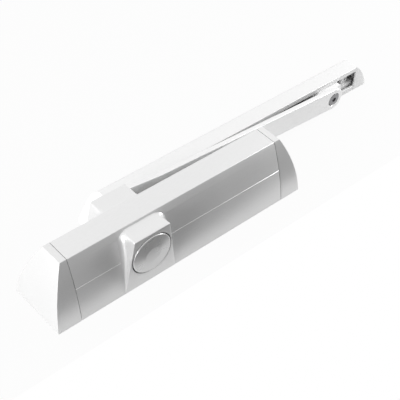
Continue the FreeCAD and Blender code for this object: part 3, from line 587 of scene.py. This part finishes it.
# %% Outline of a hood
HOOD_TOP = BODY_DEPTH - 2.0
HOOD_TOP_HALF = 18.6
HOOD_FOOT_HALF = 27.4
HOOD_EDGE = 0.8
HOOD_DRAFT = 0.1
HOOD_HOLLOW = 5.0
HOOD_CORNERS = (1.0, 5.0)
HOOD_CORNER_STEPS = 6
HOOD_WALL = 1.6
HOOD_BELOW = -30.0
CAP_RADIUS = (CAP_HIGH.x - CAP_LOW.x) / 2
HOOD_HOLE = CAP_RADIUS + 0.9


def hood_outline(back, inset=0.0):
    """Left foot, top and right foot at a share of the depth, as offsets from the spindle's X."""
    corner = HOOD_CORNERS[0] + (HOOD_CORNERS[1] - HOOD_CORNERS[0]) * back
    top = HOOD_TOP - inset
    below = HOOD_BELOW

    def flank(z):
        return HOOD_FOOT_HALF - (HOOD_FOOT_HALF - HOOD_TOP_HALF) * z / HOOD_TOP - inset

    corners = [(-flank(below), below), (-flank(top), top), (flank(top), top), (flank(below), below)]
    bend = soft_corners(corners, [0, corner, corner, 0], HOOD_CORNER_STEPS)[1:HOOD_CORNER_STEPS + 2]
    rising = [(-flank(z), z) for z in np.linspace(0.0, bend[0][1], 24)[:-1]]
    half = rising + bend
    level = [(x, top) for x in np.linspace(half[-1][0], -half[-1][0], 11)[1:-1]]
    return half + level + [(-x, z) for x, z in reversed(half)]


# %% Surfaces of a hood
EDGE_SHARE = 0.45
HOLLOW_SHARE = 0.6
RIM_STEPS = 4
HOLLOW_STEPS = 7
COLLAR_ROUND = 0.3
COLLAR_DEPTH = 3.0


def hood_rim(sign, depths):
    """Rows of points that round the edge between the front and the flanks."""
    front = hood_outline(0.0)
    tucked = hood_outline(0.0, HOOD_EDGE)
    rows = []
    for i in range(RIM_STEPS):
        angle = math.pi / 2 * i / RIM_STEPS
        row = []
        for (x, z), (in_x, in_z), depth in zip(front, tucked, depths):
            soft = min(1.0, EDGE_SHARE * depth / HOOD_EDGE)
            share = soft * (1 - math.sin(angle))
            back = soft * HOOD_EDGE * (1 - math.cos(angle))
            rim_x = SPINDLE[0] + x + (in_x - x) * share
            rim_z = z + (in_z - z) * share
            row.append((rim_x, sign * (BODY_HALF_WIDTH - back), rim_z))
        rows.append(row)
    return rows


def hood_flanks(sign, depths):
    """Rows of points from the rim back to the body, turning outwards at the end."""
    rows = []
    straight = [(share, 0.0) for share in (0.0, 0.3, 0.6, 0.85)]
    turning = [(1.0, math.pi / 2 * i / HOLLOW_STEPS) for i in range(HOLLOW_STEPS + 1)]
    stations = straight + turning
    for i, (run, angle) in enumerate(stations):
        row = []
        for (x, z), depth in zip(hood_outline(i / (len(stations) - 1)), depths):
            soft = min(HOOD_EDGE, EDGE_SHARE * depth)
            hollow = min(HOOD_HOLLOW, HOLLOW_SHARE * (depth - soft))
            flat = (depth - soft - hollow) * run
            back = soft + flat + hollow * math.sin(angle)
            out = HOOD_DRAFT * flat + hollow * (1 - math.cos(angle))
            on_side = min(1.0, max(0.0, (HOOD_TOP - z) / HOOD_CORNERS[1]))
            flank_x = SPINDLE[0] + x + math.copysign(out * on_side, x)
            row.append((flank_x, sign * (BODY_HALF_WIDTH - back), z))
        rows.append(row)
    return rows


def hood_front(sign, rim):
    """Rings from the rim to the round hole, and a short collar into it."""
    low = [(x, rim[0][1], 0.0) for x in np.linspace(rim[-1][0], rim[0][0], 14)[1:-1]]
    loop = [*rim, *low]
    aways = [Vector((x - SPINDLE[0], z - SPINDLE[1])) for x, y, z in loop]
    middle = 0.3 * COLLAR_ROUND
    rings = [(share, HOOD_HOLE + COLLAR_ROUND, 0.0) for share in (0.0, 0.4, 0.75, 1.0)]
    rings.append((1.0, HOOD_HOLE + middle, middle))
    rings += [(1.0, HOOD_HOLE, back) for back in (COLLAR_ROUND, COLLAR_DEPTH)]
    rows = []
    for share, radius, back in rings:
        row = []
        for away in [*aways, aways[0]]:
            point = away.lerp(away.normalized() * radius, share)
            row.append((SPINDLE[0] + point.x, sign * (BODY_HALF_WIDTH - back), SPINDLE[1] + point.y))
        rows.append(row)
    return rows


# %% Hoods over the spindle ends
HOOD_THINNEST = 0.05
HOOD_OVERLAP = 0.1


def hood(name, sign, node):
    """sign is -1 for the spindle side and 1 for the arm side."""
    heights = [z for x, z in hood_outline(1.0)]
    depths = [max(HOOD_THINNEST, BODY_HALF_WIDTH - side_at(z)) + HOOD_OVERLAP for z in heights]
    rim = hood_rim(sign, depths)
    sheets = [grid(rim + hood_flanks(sign, depths)), grid(hood_front(sign, rim[0]))]
    piece = new_piece(name, *joined(*sheets), facing=(0, sign, 0))
    thicken(piece, HOOD_WALL)
    settle(piece, sharp=40.0)
    stand(piece)
    hand_over(piece, "closer_body", node)


hood("spindle_hood_shell", -1, "spindle_hood")
hood("arm_hood_shell", 1, "arm_hood")

# %% [markdown]
# ## Spindle cap
# The round cap on the unused spindle end is turned work: a flat disc in the middle, a shallow cone around it,
# a rounded rim and a skirt that goes into the hood. In the photograph the upper side of the cone mirrors the
# dim front and the disc the white ground, so the disc's upper edge shows as an arc.
# A profile turned about the spindle makes it.

# %% Cap on the spindle
CAP_FRONT = -CAP_LOW.y
CAP_RIM = 1.2
CAP_CONE = CAP_RADIUS - CAP_RIM
CAP_DISC = 0.42 * CAP_CONE
CAP_FALL = 1.1
CAP_RIM_TURN = 0.46 * math.pi
CAP_RIM_STEPS = 10
CAP_SKIRT_INNER = CAP_RADIUS - 1.6
CAP_SKIRT_END = 27.5
CAP_INSIDE = 28.2
CAP_HUB_RADIUS = 11.0
CAP_HUB_FRONT = 27.6
CAP_HUB_END = 25.0

cap_profile = []
for radius in np.linspace(0.0, CAP_CONE, 48):
    fall = CAP_FALL * max(0.0, (radius - CAP_DISC) / (CAP_CONE - CAP_DISC))
    cap_profile.append((radius, -(CAP_FRONT - fall)))
for i in range(1, CAP_RIM_STEPS + 1):
    angle = CAP_RIM_TURN * (1 - i / CAP_RIM_STEPS)
    radius = CAP_CONE + CAP_RIM * math.cos(angle)
    cap_profile.append((radius, -(CAP_FRONT - CAP_FALL - CAP_RIM + CAP_RIM * math.sin(angle))))
cap_profile += [(CAP_RADIUS, -CAP_SKIRT_END), (CAP_SKIRT_INNER, -CAP_SKIRT_END)]
cap_profile.append((CAP_SKIRT_INNER, -CAP_INSIDE))
cap_profile += [(CAP_HUB_RADIUS, -CAP_HUB_FRONT), (CAP_HUB_RADIUS, -CAP_HUB_END), (0.0, -CAP_HUB_END)]
cap = new_piece("domed_cap", *lathe(cap_profile, SPINDLE, steps=128))
settle(cap, sharp=35.0)
hand_over(cap, "swing_arm", "spindle_cap")

# %% [markdown]
# ## Arm
# The arm is a flat bar that swells to a hub at the spindle and ends in a half round at the pivot.
# Its outline is drawn flat and given a rounded rim; the boss is added and the holes are cut.

# %% Outline of the arm
BOLT_LOW, BOLT_HIGH = box_mm("pivot_bolt")
PIVOT = ((BOLT_LOW.x + BOLT_HIGH.x) / 2, (BOLT_LOW.z + BOLT_HIGH.z) / 2)
ARM_LOW, ARM_HIGH = box_mm("arm")
ARM_FAR = ARM_HIGH.y
ARM_NEAR = ARM_FAR - 5.0
ARM_HALF = 12.2
ARM_HUB = 17.0
ARM_TAPER = 60.0
HALF_TURN_STEPS = 24
arm_run = Vector(PIVOT) - Vector(SPINDLE)
arm_along = arm_run.normalized()


def on_arm(distance, sideways):
    """Point in the arm's plane by distance from the spindle and offset to the upper side."""
    return (SPINDLE[0] + arm_along.x * distance - arm_along.y * sideways,
            SPINDLE[1] + arm_along.y * distance + arm_along.x * sideways)


def half_turn(distance, radius, start):
    """Half circle about a point of the arm's middle line."""
    angles = [start + math.pi * i / HALF_TURN_STEPS for i in range(HALF_TURN_STEPS + 1)]
    return [on_arm(distance + radius * math.cos(a), radius * math.sin(a)) for a in angles]


taper = [(8.0, 0.0), (0.0, 0.15), (-8.0, 0.7)]
arm_outline = half_turn(arm_run.length, ARM_HALF, -math.pi / 2)
arm_outline += [on_arm(ARM_TAPER + ahead, ARM_HALF + wide) for ahead, wide in taper]
arm_outline += half_turn(0.0, ARM_HUB, math.pi / 2)
arm_outline += [on_arm(ARM_TAPER + ahead, -ARM_HALF - wide) for ahead, wide in reversed(taper)]
print("arm outline has", len(arm_outline), "points")

# %% Arm
BOSS_RADIUS = 14.0
BOSS_CHAMFER = 0.4
BOSS_NEAR = ARM_LOW.y
BOSS_FAR = ARM_NEAR + 1.5
SQUARE_HALF = 5.55
SQUARE_RUN = (20.0, 40.0)

arm = new_piece("arm_bar", *plate(arm_outline, ARM_NEAR, ARM_FAR, edge=0.7))
boss = [(0.0, BOSS_NEAR), (BOSS_RADIUS - BOSS_CHAMFER, BOSS_NEAR), (BOSS_RADIUS, BOSS_NEAR + BOSS_CHAMFER)]
boss += [(BOSS_RADIUS, BOSS_FAR), (0.0, BOSS_FAR)]
combine(arm, "UNION", *lathe(boss, SPINDLE))

# Radius and depth from the near face: counterbore for the head, then the hole with its far chamfer
sink = [(0.0, -1.5), (7.5, -1.5), (7.5, 0.0), (7.3, 0.2), (7.3, 2.0)]
sink += [(4.6, 2.0), (4.6, 4.7), (5.2, 5.5), (5.2, 6.5), (0.0, 6.5)]
combine(arm, "DIFFERENCE", *lathe([(radius, ARM_NEAR + depth) for radius, depth in sink], PIVOT))
square_x, square_z = ((middle - SQUARE_HALF, middle + SQUARE_HALF) for middle in SPINDLE)
combine(arm, "DIFFERENCE", *soft_bar(square_x, SQUARE_RUN, square_z, corner=0.3, edge=0.2))
hand_over(arm, "swing_arm", "arm")

# %% [markdown]
# ## Screws and washer of the arm
# A socket-head bolt joins the arm to the slide block, and a screw with a washer holds the arm on the spindle.
# All three are turned, with small chamfers that catch the light; a hexagon is cut for the key.

# %% Turned fasteners
def fastener(name, profile, centre, key, body, node):
    """Turned profile of (radius, y); key is the socket's across-flats size and its two ends along Y."""
    piece = new_piece(name, *lathe(profile, centre))
    if key:
        across_flats, near, far = key
        combine(piece, "DIFFERENCE", *plate(hexagon(centre, across_flats), near, far, edge=0.05, steps=1))
    settle(piece)
    hand_over(piece, body, node)


BOLT_SHOULDER = 36.4
BOLT_TIP = 45.4
BOLT_KEY = 5.0
head = BOLT_LOW.y
bolt = [(0.0, head), (6.3, head), (6.8, head + 0.2), (7.0, head + 0.6), (7.0, head + 2.0), (6.8, head + 2.2)]
bolt += [(4.5, head + 2.2), (4.5, BOLT_SHOULDER), (3.0, BOLT_SHOULDER)]
bolt += [(3.0, BOLT_TIP - 0.4), (2.6, BOLT_TIP), (0.0, BOLT_TIP)]
fastener("pivot_bolt_turned", bolt, PIVOT, (BOLT_KEY, head - 1.0, head + 1.5), "slider", "pivot_bolt")

SCREW_KEY = 4.0
SCREW_LOW, SCREW_HIGH = box_mm("arm_screw")
tip, top = SCREW_LOW.y, SCREW_HIGH.y
screw = [(0.0, tip), (2.6, tip), (3.0, tip + 0.4), (3.0, top - 2.8), (6.3, top - 2.8)]
screw += [(6.5, top - 2.6), (6.5, top - 0.8), (6.2, top - 0.2), (5.6, top), (0.0, top)]
fastener("arm_screw_turned", screw, SPINDLE, (SCREW_KEY, top - 1.6, top + 1.0), "swing_arm", "arm_screw")

WASHER_BORE = 3.05
WASHER_LOW, WASHER_HIGH = box_mm("arm_washer")
near, far = WASHER_LOW.y, WASHER_HIGH.y
washer = [(WASHER_BORE, near), (8.8, near), (9.0, near + 0.2), (9.0, far - 0.3), (8.7, far)]
washer += [(3.3, far), (WASHER_BORE, far - 0.2), (WASHER_BORE, near)]
fastener("arm_washer_turned", washer, SPINDLE, None, "swing_arm", "arm_washer")

# %% [markdown]
# ## Rail
# The guide rail is the second extrusion: a channel with two lips, its far upper edge rounded.
# The same tree pulls its section out. The faces inside the channel get a dark grey that is painted shade:
# they are finished like the outside and only lie in shadow behind the lips.

# %% Rail
RAIL_LOW, RAIL_HIGH = box_mm("rail")
RAIL_ROUND = 6.0
CHANNEL_NEAR = RAIL_LOW.y + 2.2
CHANNEL_FAR = RAIL_HIGH.y - 2.0
CHANNEL_LOW = 2.6
CHANNEL_HIGH = RAIL_HIGH.z - 2.2
LIP = 3.3
SLOT_LOW = CHANNEL_LOW + LIP
SLOT_HIGH = CHANNEL_HIGH - LIP
FACE_MARGIN = 0.1

# Y, Z and radius of each corner, from the slot's upper lip round the channel and back over the outside
rail_corners = [
    (RAIL_LOW.y, SLOT_HIGH, 0.5),
    (CHANNEL_NEAR, SLOT_HIGH, 0.4),
    (CHANNEL_NEAR, CHANNEL_HIGH, 0.5),
    (CHANNEL_FAR, CHANNEL_HIGH, 4.0),
    (CHANNEL_FAR, CHANNEL_LOW, 0.5),
    (CHANNEL_NEAR, CHANNEL_LOW, 0.5),
    (CHANNEL_NEAR, SLOT_LOW, 0.4),
    (RAIL_LOW.y, SLOT_LOW, 0.5),
    (RAIL_LOW.y, 0.0, 0.4),
    (RAIL_HIGH.y, 0.0, 0.4),
    (RAIL_HIGH.y, RAIL_HIGH.z, RAIL_ROUND),
    (RAIL_LOW.y, RAIL_HIGH.z, 0.7),
]
rail_section = soft_corners([(y, z) for y, z, r in rail_corners], [r for y, z, r in rail_corners], 6)
rail = extrude("rail_profile", rail_section, RAIL_LOW.x, RAIL_HIGH.x, "rail")
hand_over(rail, "guide_rail", "rail")
# The faces inside the channel take the dark painted-shade finish in place of the rail's own.
rail.data.materials.append(FINISH["channel_painted_shade"])
for face in rail.data.polygons:
    in_depth = CHANNEL_NEAR - FACE_MARGIN < face.center.y / MM < CHANNEL_FAR + FACE_MARGIN
    in_height = CHANNEL_LOW - FACE_MARGIN < face.center.z / MM < CHANNEL_HIGH + FACE_MARGIN
    if in_depth and in_height:
        face.material_index = 1

# %% [markdown]
# ## Rail ends
# A moulded cap with a convex end closes the rail at each side, made as the body's end caps are. Inside it an
# insert fills the foot of the channel, carries an upright tongue with a hole, and has a lug for the screw.

# %% Rail end caps
RAIL_CAP_LENGTH = box_mm("rail_end_cap_right")[1].x - RAIL_HIGH.x
RAIL_CAP_TOP = 0.1
RAIL_CAP_BOW = 2.9
RAIL_CAP_WALL = 1.4
RAIL_END = bowed((RAIL_CAP_LENGTH, 0.0), (RAIL_CAP_TOP, RAIL_HIGH.z), RAIL_CAP_BOW)


def rail_end_cap(name, sign, node):
    """sign is 1 for the right end and -1 for the left end."""
    start = RAIL_HIGH.x if sign > 0 else RAIL_LOW.x
    near, far, top = RAIL_LOW.y, RAIL_HIGH.y, RAIL_HIGH.z
    corner = soft_corners([(far, 0.0), (far, top), (near, top)], [0, RAIL_ROUND, 0], 12)
    wall_points = [(far, z) for z in np.linspace(0.0, top - RAIL_ROUND, 16)[:-1]] + corner[1:-1]
    shares = np.linspace(0.0, 1.0, 9)
    across = np.linspace(0.0, 1.0, 13)

    def at(share, y, z):
        return (start + sign * read_off(RAIL_END, z) * share, y, z)

    roof_y, roof_z = wall_points[-1]
    sheets = [grid([[at(t, y, z) for t in shares] for y, z in wall_points])]
    sheets.append(grid([[at(t, near, z) for t in shares] for y, z in wall_points]))
    sheets.append(grid([[at(1.0, near + (y - near) * a, z) for a in across] for y, z in wall_points]))
    sheets.append(grid([[at(t, near + (roof_y - near) * a, roof_z) for t in shares] for a in across]))
    cap = new_piece(name, *joined(*sheets), facing=(sign, 0, 0))
    thicken(cap, RAIL_CAP_WALL)
    soften(cap, width=0.4, segments=2, angle=40)
    settle(cap)
    stand(cap)
    hand_over(cap, "guide_rail", node)


rail_end_cap("rail_cap_right", 1, "rail_end_cap_right")
rail_end_cap("rail_cap_left", -1, "rail_end_cap_left")


# %% Rail inserts
INSERT_GAP = 0.1
BASE_LENGTH = 15.0
BASE_HEIGHT = 8.0
BASE_NEAR = 1.5
TONGUE_RUN = (-14.5, -6.0)
TONGUE_NEAR, TONGUE_FAR = 3.5, 6.0
LUG_RUN = (-1.0, 14.0)
LUG_HEIGHT = 4.0
LUG_INSET = 1.7
PEEP_BACK = 9.5
PEEP_RADIUS = 1.3
PEEP_HEIGHT = (CHANNEL_LOW + CHANNEL_HIGH) / 2 + 0.5
FIXING_OUT = 8.0
FIXING_RADIUS = 2.6


def pin(radius, first, second):
    """Profile of a plain round pin between two depths."""
    return [(0.0, first), (radius, first), (radius, second), (0.0, second)]


def rail_insert(name, sign, node):
    """sign is 1 for the right end and -1 for the left end."""
    start = RAIL_HIGH.x if sign > 0 else RAIL_LOW.x
    near, far = CHANNEL_NEAR + INSERT_GAP, CHANNEL_FAR - INSERT_GAP
    low, high = CHANNEL_LOW + INSERT_GAP, CHANNEL_HIGH - INSERT_GAP

    def reach(first, second):
        return sorted((start + sign * first, start + sign * second))

    base_x = reach(-BASE_LENGTH, INSERT_GAP)
    base_depth = (near + BASE_NEAR, far)
    base = soft_bar(base_x, base_depth, (low, low + BASE_HEIGHT), corner=0.7, edge=0.3)
    piece = new_piece(name, *base)
    tongue_depth = (near + TONGUE_NEAR, near + TONGUE_FAR)
    tongue = soft_bar(reach(*TONGUE_RUN), tongue_depth, (low + 1.0, high), corner=1.2, edge=0.3)
    combine(piece, "UNION", *tongue)
    lug_depth = (RAIL_LOW.y + LUG_INSET, RAIL_HIGH.y - LUG_INSET)
    lug = soft_bar(reach(*LUG_RUN), lug_depth, (0.0, LUG_HEIGHT), corner=0.6, edge=0.25)
    combine(piece, "UNION", *lug)
    peep = (start - sign * PEEP_BACK, PEEP_HEIGHT)
    combine(piece, "DIFFERENCE", *lathe(pin(PEEP_RADIUS, near, far), peep, steps=32))
    fixing = (start + sign * FIXING_OUT, (RAIL_LOW.y + RAIL_HIGH.y) / 2)
    combine(piece, "DIFFERENCE", *lathe(pin(FIXING_RADIUS, -1.0, LUG_HEIGHT + 1.0), fixing, in_xy, 32))
    hand_over(piece, "guide_rail", node)


rail_insert("rail_insert_right_block", 1, "rail_insert_right")
rail_insert("rail_insert_left_block", -1, "rail_insert_left")

# %% [markdown]
# ## Slide block
# A plastic block runs in the channel; its neck comes out through the slot and carries the arm's bolt.
# Two rounded bars joined into one give it, with the wide corner radius that shows beside the arm.

# %% Slide block
BLOCK_LOW, BLOCK_HIGH = box_mm("slide_block")
SLIDE_GAP = 0.4
RUNNER_NEAR = CHANNEL_NEAR + SLIDE_GAP
NECK_INSET = 1.0
THREAD_RADIUS = 3.05
THREAD_END = 46.4

runner_x = (BLOCK_LOW.x, BLOCK_HIGH.x)
runner_z = (BLOCK_LOW.z, BLOCK_HIGH.z)
runner = soft_bar(runner_x, (RUNNER_NEAR, BLOCK_HIGH.y), runner_z, corner=1.0, edge=0.8)
slide_block = new_piece("slide_block_runner", *runner)
neck_x = (BLOCK_LOW.x + NECK_INSET, BLOCK_HIGH.x - NECK_INSET)
neck_z = (SLOT_LOW + SLIDE_GAP, SLOT_HIGH - SLIDE_GAP)
neck = soft_bar(neck_x, (BLOCK_LOW.y, RUNNER_NEAR + 1.0), neck_z, corner=5.0, edge=0.6)
combine(slide_block, "UNION", *neck)
thread = pin(THREAD_RADIUS, BLOCK_LOW.y - 1.0, THREAD_END)
combine(slide_block, "DIFFERENCE", *lathe(thread, PIVOT, steps=48))
hand_over(slide_block, "slider", "slide_block")

# %% [markdown]
# ## Springs
# The springs give way when the pistons move; the coils made here are not attached to any body and stay where
# they are built.
# A coil follows one rule, a round wire carried along a helix, and a short tree of Geometry Nodes says it.
# The closing spring is pressed from both ends. It is made of two halves that meet in the middle.
# The return spring is a single coil.

# %% Geometry Nodes tree for a coil
COIL_STEPS = 32
WIRE_SIDES = 12


def make_coil_tree():
    """A helix along Z, with a round wire carried along it."""
    tree = bpy.data.node_groups.new("coil", "GeometryNodeTree")
    face = tree.interface
    for name in ("Turns", "Coil", "Length", "Wire"):
        face.new_socket(name, in_out="INPUT", socket_type="NodeSocketFloat")
    face.new_socket("Spring", in_out="OUTPUT", socket_type="NodeSocketGeometry")
    nodes = tree.nodes
    links = tree.links
    source = nodes.new("NodeGroupInput")
    result = nodes.new("NodeGroupOutput")
    helix = nodes.new("GeometryNodeCurveSpiral")
    helix.inputs["Resolution"].default_value = COIL_STEPS
    ring = nodes.new("GeometryNodeCurvePrimitiveCircle")
    ring.inputs["Resolution"].default_value = WIRE_SIDES
    sweep = nodes.new("GeometryNodeCurveToMesh")
    sweep.inputs["Fill Caps"].default_value = True
    links.new(source.outputs["Turns"], helix.inputs["Rotations"])
    links.new(source.outputs["Coil"], helix.inputs["Start Radius"])
    links.new(source.outputs["Coil"], helix.inputs["End Radius"])
    links.new(source.outputs["Length"], helix.inputs["Height"])
    links.new(source.outputs["Wire"], ring.inputs["Radius"])
    links.new(helix.outputs["Curve"], sweep.inputs["Curve"])
    links.new(ring.outputs["Curve"], sweep.inputs["Profile Curve"])
    links.new(sweep.outputs["Mesh"], result.inputs["Spring"])
    return tree


COIL = make_coil_tree()


# %% Springs
def spring(name, node, wire, coil, turns, reach, moving_end):
    """Coil along X between the two values of reach.

    moving_end is 0 or 1 and is not used: it only shifts one entry of a list of stops that nothing reads.
    """
    low, high = box_mm(node)
    centre = ((low.y + high.y) / 2, (low.z + high.z) / 2)
    piece = new_piece(name, [], [])
    grow(piece, COIL, Turns=turns, Coil=coil * MM, Length=(reach[1] - reach[0]) * MM, Wire=wire * MM)
    turned = Matrix.Rotation(math.pi / 2, 4, "Y")
    piece.data.transform(Matrix.Translation(Vector((reach[0], *centre)) * MM) @ turned)
    dress(piece, node)
    stops = list(reach)
    stops[moving_end] += 2 * wire * (1 - 2 * moving_end)
    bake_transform(piece)


CLOSING_WIRE = 2.2
CLOSING_COIL = 12.0
HALF_TURNS = 3.0
PRESSED_LOW, PRESSED_HIGH = box_mm("closing_spring")
pressed = (PRESSED_LOW.x + CLOSING_WIRE, PRESSED_HIGH.x - CLOSING_WIRE)
still = sum(pressed) / 2
spring("closing_spring_piston_half", "closing_spring", CLOSING_WIRE, CLOSING_COIL, HALF_TURNS,
       (pressed[0], still), 0)
spring("closing_spring_seat_half", "closing_spring", CLOSING_WIRE, CLOSING_COIL, HALF_TURNS,
       (still, pressed[1]), 1)

RETURN_WIRE = 0.9
RETURN_COIL = 11.0
RETURN_TURNS = 2.0
EASED_LOW, EASED_HIGH = box_mm("return_spring")
eased = (EASED_LOW.x + RETURN_WIRE, EASED_HIGH.x - RETURN_WIRE)
spring("return_spring_coil", "return_spring", RETURN_WIRE, RETURN_COIL, RETURN_TURNS,
       eased, 1)

# %% [markdown]
# ## Floor and light
# The photograph is bright product light: a white ground, a large soft source above and behind, a window from
# the left, and little light from the front, so that the long side reads as mid grey. The world is white where
# it is seen or mirrored, and lights matt surfaces with a gradient that is bright above and behind.
# A dim card stands in front, as in a studio; the camera looks through it, so that it is in no picture.
# The ground ends a little way in front of the part, so the upper half of the long side mirrors the card and
# its lower half the white ground. Two soft lamps help: a window at the left and a weak fill at the right.

# %% Floor
FLOOR_LEFT, FLOOR_RIGHT = -1.2, 1.2
FLOOR_FRONT, FLOOR_BACK = -0.058, 1.2
FLOOR_GAP = 0.2 * MM
FLOOR_TONE = (0.5, 0.5, 0.5, 1.0)
FLOOR_GLOW = 0.95


def seen_directly(nodes, links):
    """One for camera, glossy and transmission rays, and nothing for the rays that light matt surfaces."""
    path = nodes.new("ShaderNodeLightPath")
    share = path.outputs["Is Camera Ray"]
    for ray in ("Is Glossy Ray", "Is Transmission Ray"):
        either = nodes.new("ShaderNodeMath")
        either.operation = "MAXIMUM"
        links.new(share, either.inputs[0])
        links.new(path.outputs[ray], either.inputs[1])
        share = either.outputs[0]
    return share


def flat_sheet(name, corners):
    """Sheet with four corners."""
    mesh = bpy.data.meshes.new(name)
    mesh.from_pydata(corners, [], [(0, 1, 2, 3)])
    sheet = bpy.data.objects.new(name, mesh)
    scene.collection.objects.link(sheet)
    return sheet


def two_faced(sheet, name, first, second):
    """Material that mixes two kinds of shader; gives back its links, its nodes, both shaders and the mix."""
    material = bpy.data.materials.new(name)
    material.use_nodes = True
    nodes = material.node_tree.nodes
    links = material.node_tree.links
    nodes.clear()
    out = nodes.new("ShaderNodeOutputMaterial")
    shaders = [nodes.new(first), nodes.new(second)]
    mix = nodes.new("ShaderNodeMixShader")
    links.new(shaders[0].outputs[0], mix.inputs[1])
    links.new(shaders[1].outputs[0], mix.inputs[2])
    links.new(mix.outputs[0], out.inputs["Surface"])
    sheet.data.materials.append(material)
    return links, nodes, *shaders, mix


def make_floor():
    """White ground just under the part, matt for its own light and glowing where it is seen or mirrored."""
    near = [(FLOOR_LEFT, FLOOR_FRONT), (FLOOR_RIGHT, FLOOR_FRONT)]
    far = [(FLOOR_RIGHT, FLOOR_BACK), (FLOOR_LEFT, FLOOR_BACK)]
    floor = flat_sheet("floor", [in_xy(x, y, 0.0) for x, y in near + far])
    floor.location.z = cad_low[2] - FLOOR_GAP
    kinds = ("ShaderNodeBsdfDiffuse", "ShaderNodeEmission")
    links, nodes, matt, glow, mix = two_faced(floor, "white_ground", *kinds)
    matt.inputs["Color"].default_value = FLOOR_TONE
    share = nodes.new("ShaderNodeMath")
    share.operation = "MULTIPLY"
    share.inputs[1].default_value = FLOOR_GLOW
    links.new(seen_directly(nodes, links), share.inputs[0])
    links.new(share.outputs[0], mix.inputs["Fac"])


make_floor()
print("floor made")


# %% Dim card
CARD_LEFT, CARD_RIGHT = -3.0, 4.0
CARD_LOW, CARD_HIGH = -2.5, 0.7
CARD_FRONT = -0.9
CARD_GLOW = 0.15


def make_card():
    """Dim upright card in front, clear to the camera."""
    left = [(CARD_LEFT, CARD_LOW), (CARD_LEFT, CARD_HIGH)]
    right = [(CARD_RIGHT, CARD_HIGH), (CARD_RIGHT, CARD_LOW)]
    card = flat_sheet("dim_card", [in_xz(x, z, CARD_FRONT) for x, z in left + right])
    kinds = ("ShaderNodeEmission", "ShaderNodeBsdfTransparent")
    links, nodes, glow, clear, mix = two_faced(card, "dim_card", *kinds)
    glow.inputs["Strength"].default_value = CARD_GLOW
    path = nodes.new("ShaderNodeLightPath")
    links.new(path.outputs["Is Camera Ray"], mix.inputs["Fac"])


make_card()
print("card made")


# %% World and lamps
BRIGHT_SIDE = Vector((0.1, 0.65, 0.7)).normalized()
DIM, BRIGHT = 0.15, 1.07
DIM_BELOW, BRIGHT_ABOVE = -0.3, 0.6
# Name, place, point aimed at, size and power
LAMPS = (
    ("window", (-1.6, -0.1, 0.35), (-0.1, 0.0, 0.03), 0.7, 18.0),
    ("fill", (0.85, -0.22, 0.3), (0.2, 0.0, 0.02), 0.3, 4.0),
)


def make_world():
    """White where it is seen or mirrored, and a gradient of light for matt surfaces."""
    world = bpy.data.worlds.new("studio")
    world.use_nodes = True
    scene.world = world
    nodes = world.node_tree.nodes
    links = world.node_tree.links
    place = nodes.new("ShaderNodeTexCoord")
    turn = nodes.new("ShaderNodeVectorMath")
    turn.operation = "DOT_PRODUCT"
    turn.inputs[1].default_value = BRIGHT_SIDE
    ramp = nodes.new("ShaderNodeMapRange")
    ramp.interpolation_type = "SMOOTHSTEP"
    ramp.inputs["From Min"].default_value = DIM_BELOW
    ramp.inputs["From Max"].default_value = BRIGHT_ABOVE
    ramp.inputs["To Min"].default_value = DIM
    ramp.inputs["To Max"].default_value = BRIGHT
    white = nodes.new("ShaderNodeMix")
    white.inputs["B"].default_value = 1.0
    links.new(place.outputs["Generated"], turn.inputs[0])
    links.new(turn.outputs["Value"], ramp.inputs["Value"])
    links.new(seen_directly(nodes, links), white.inputs["Factor"])
    links.new(ramp.outputs["Result"], white.inputs["A"])
    links.new(white.outputs["Result"], nodes["Background"].inputs["Strength"])
    nodes["Background"].inputs["Color"].default_value = (1.0, 1.0, 1.0, 1.0)


def make_lamp(name, place, aim, size, power):
    """Square soft lamp that looks at a point."""
    data = bpy.data.lights.new(name, "AREA")
    data.size = size
    data.energy = power
    lamp = bpy.data.objects.new(name, data)
    lamp.location = place
    lamp.rotation_euler = (Vector(aim) - Vector(place)).to_track_quat("-Z", "Y").to_euler()
    scene.collection.objects.link(lamp)


make_world()
for row in LAMPS:
    make_lamp(*row)
print("world and", len(LAMPS), "lamps made")
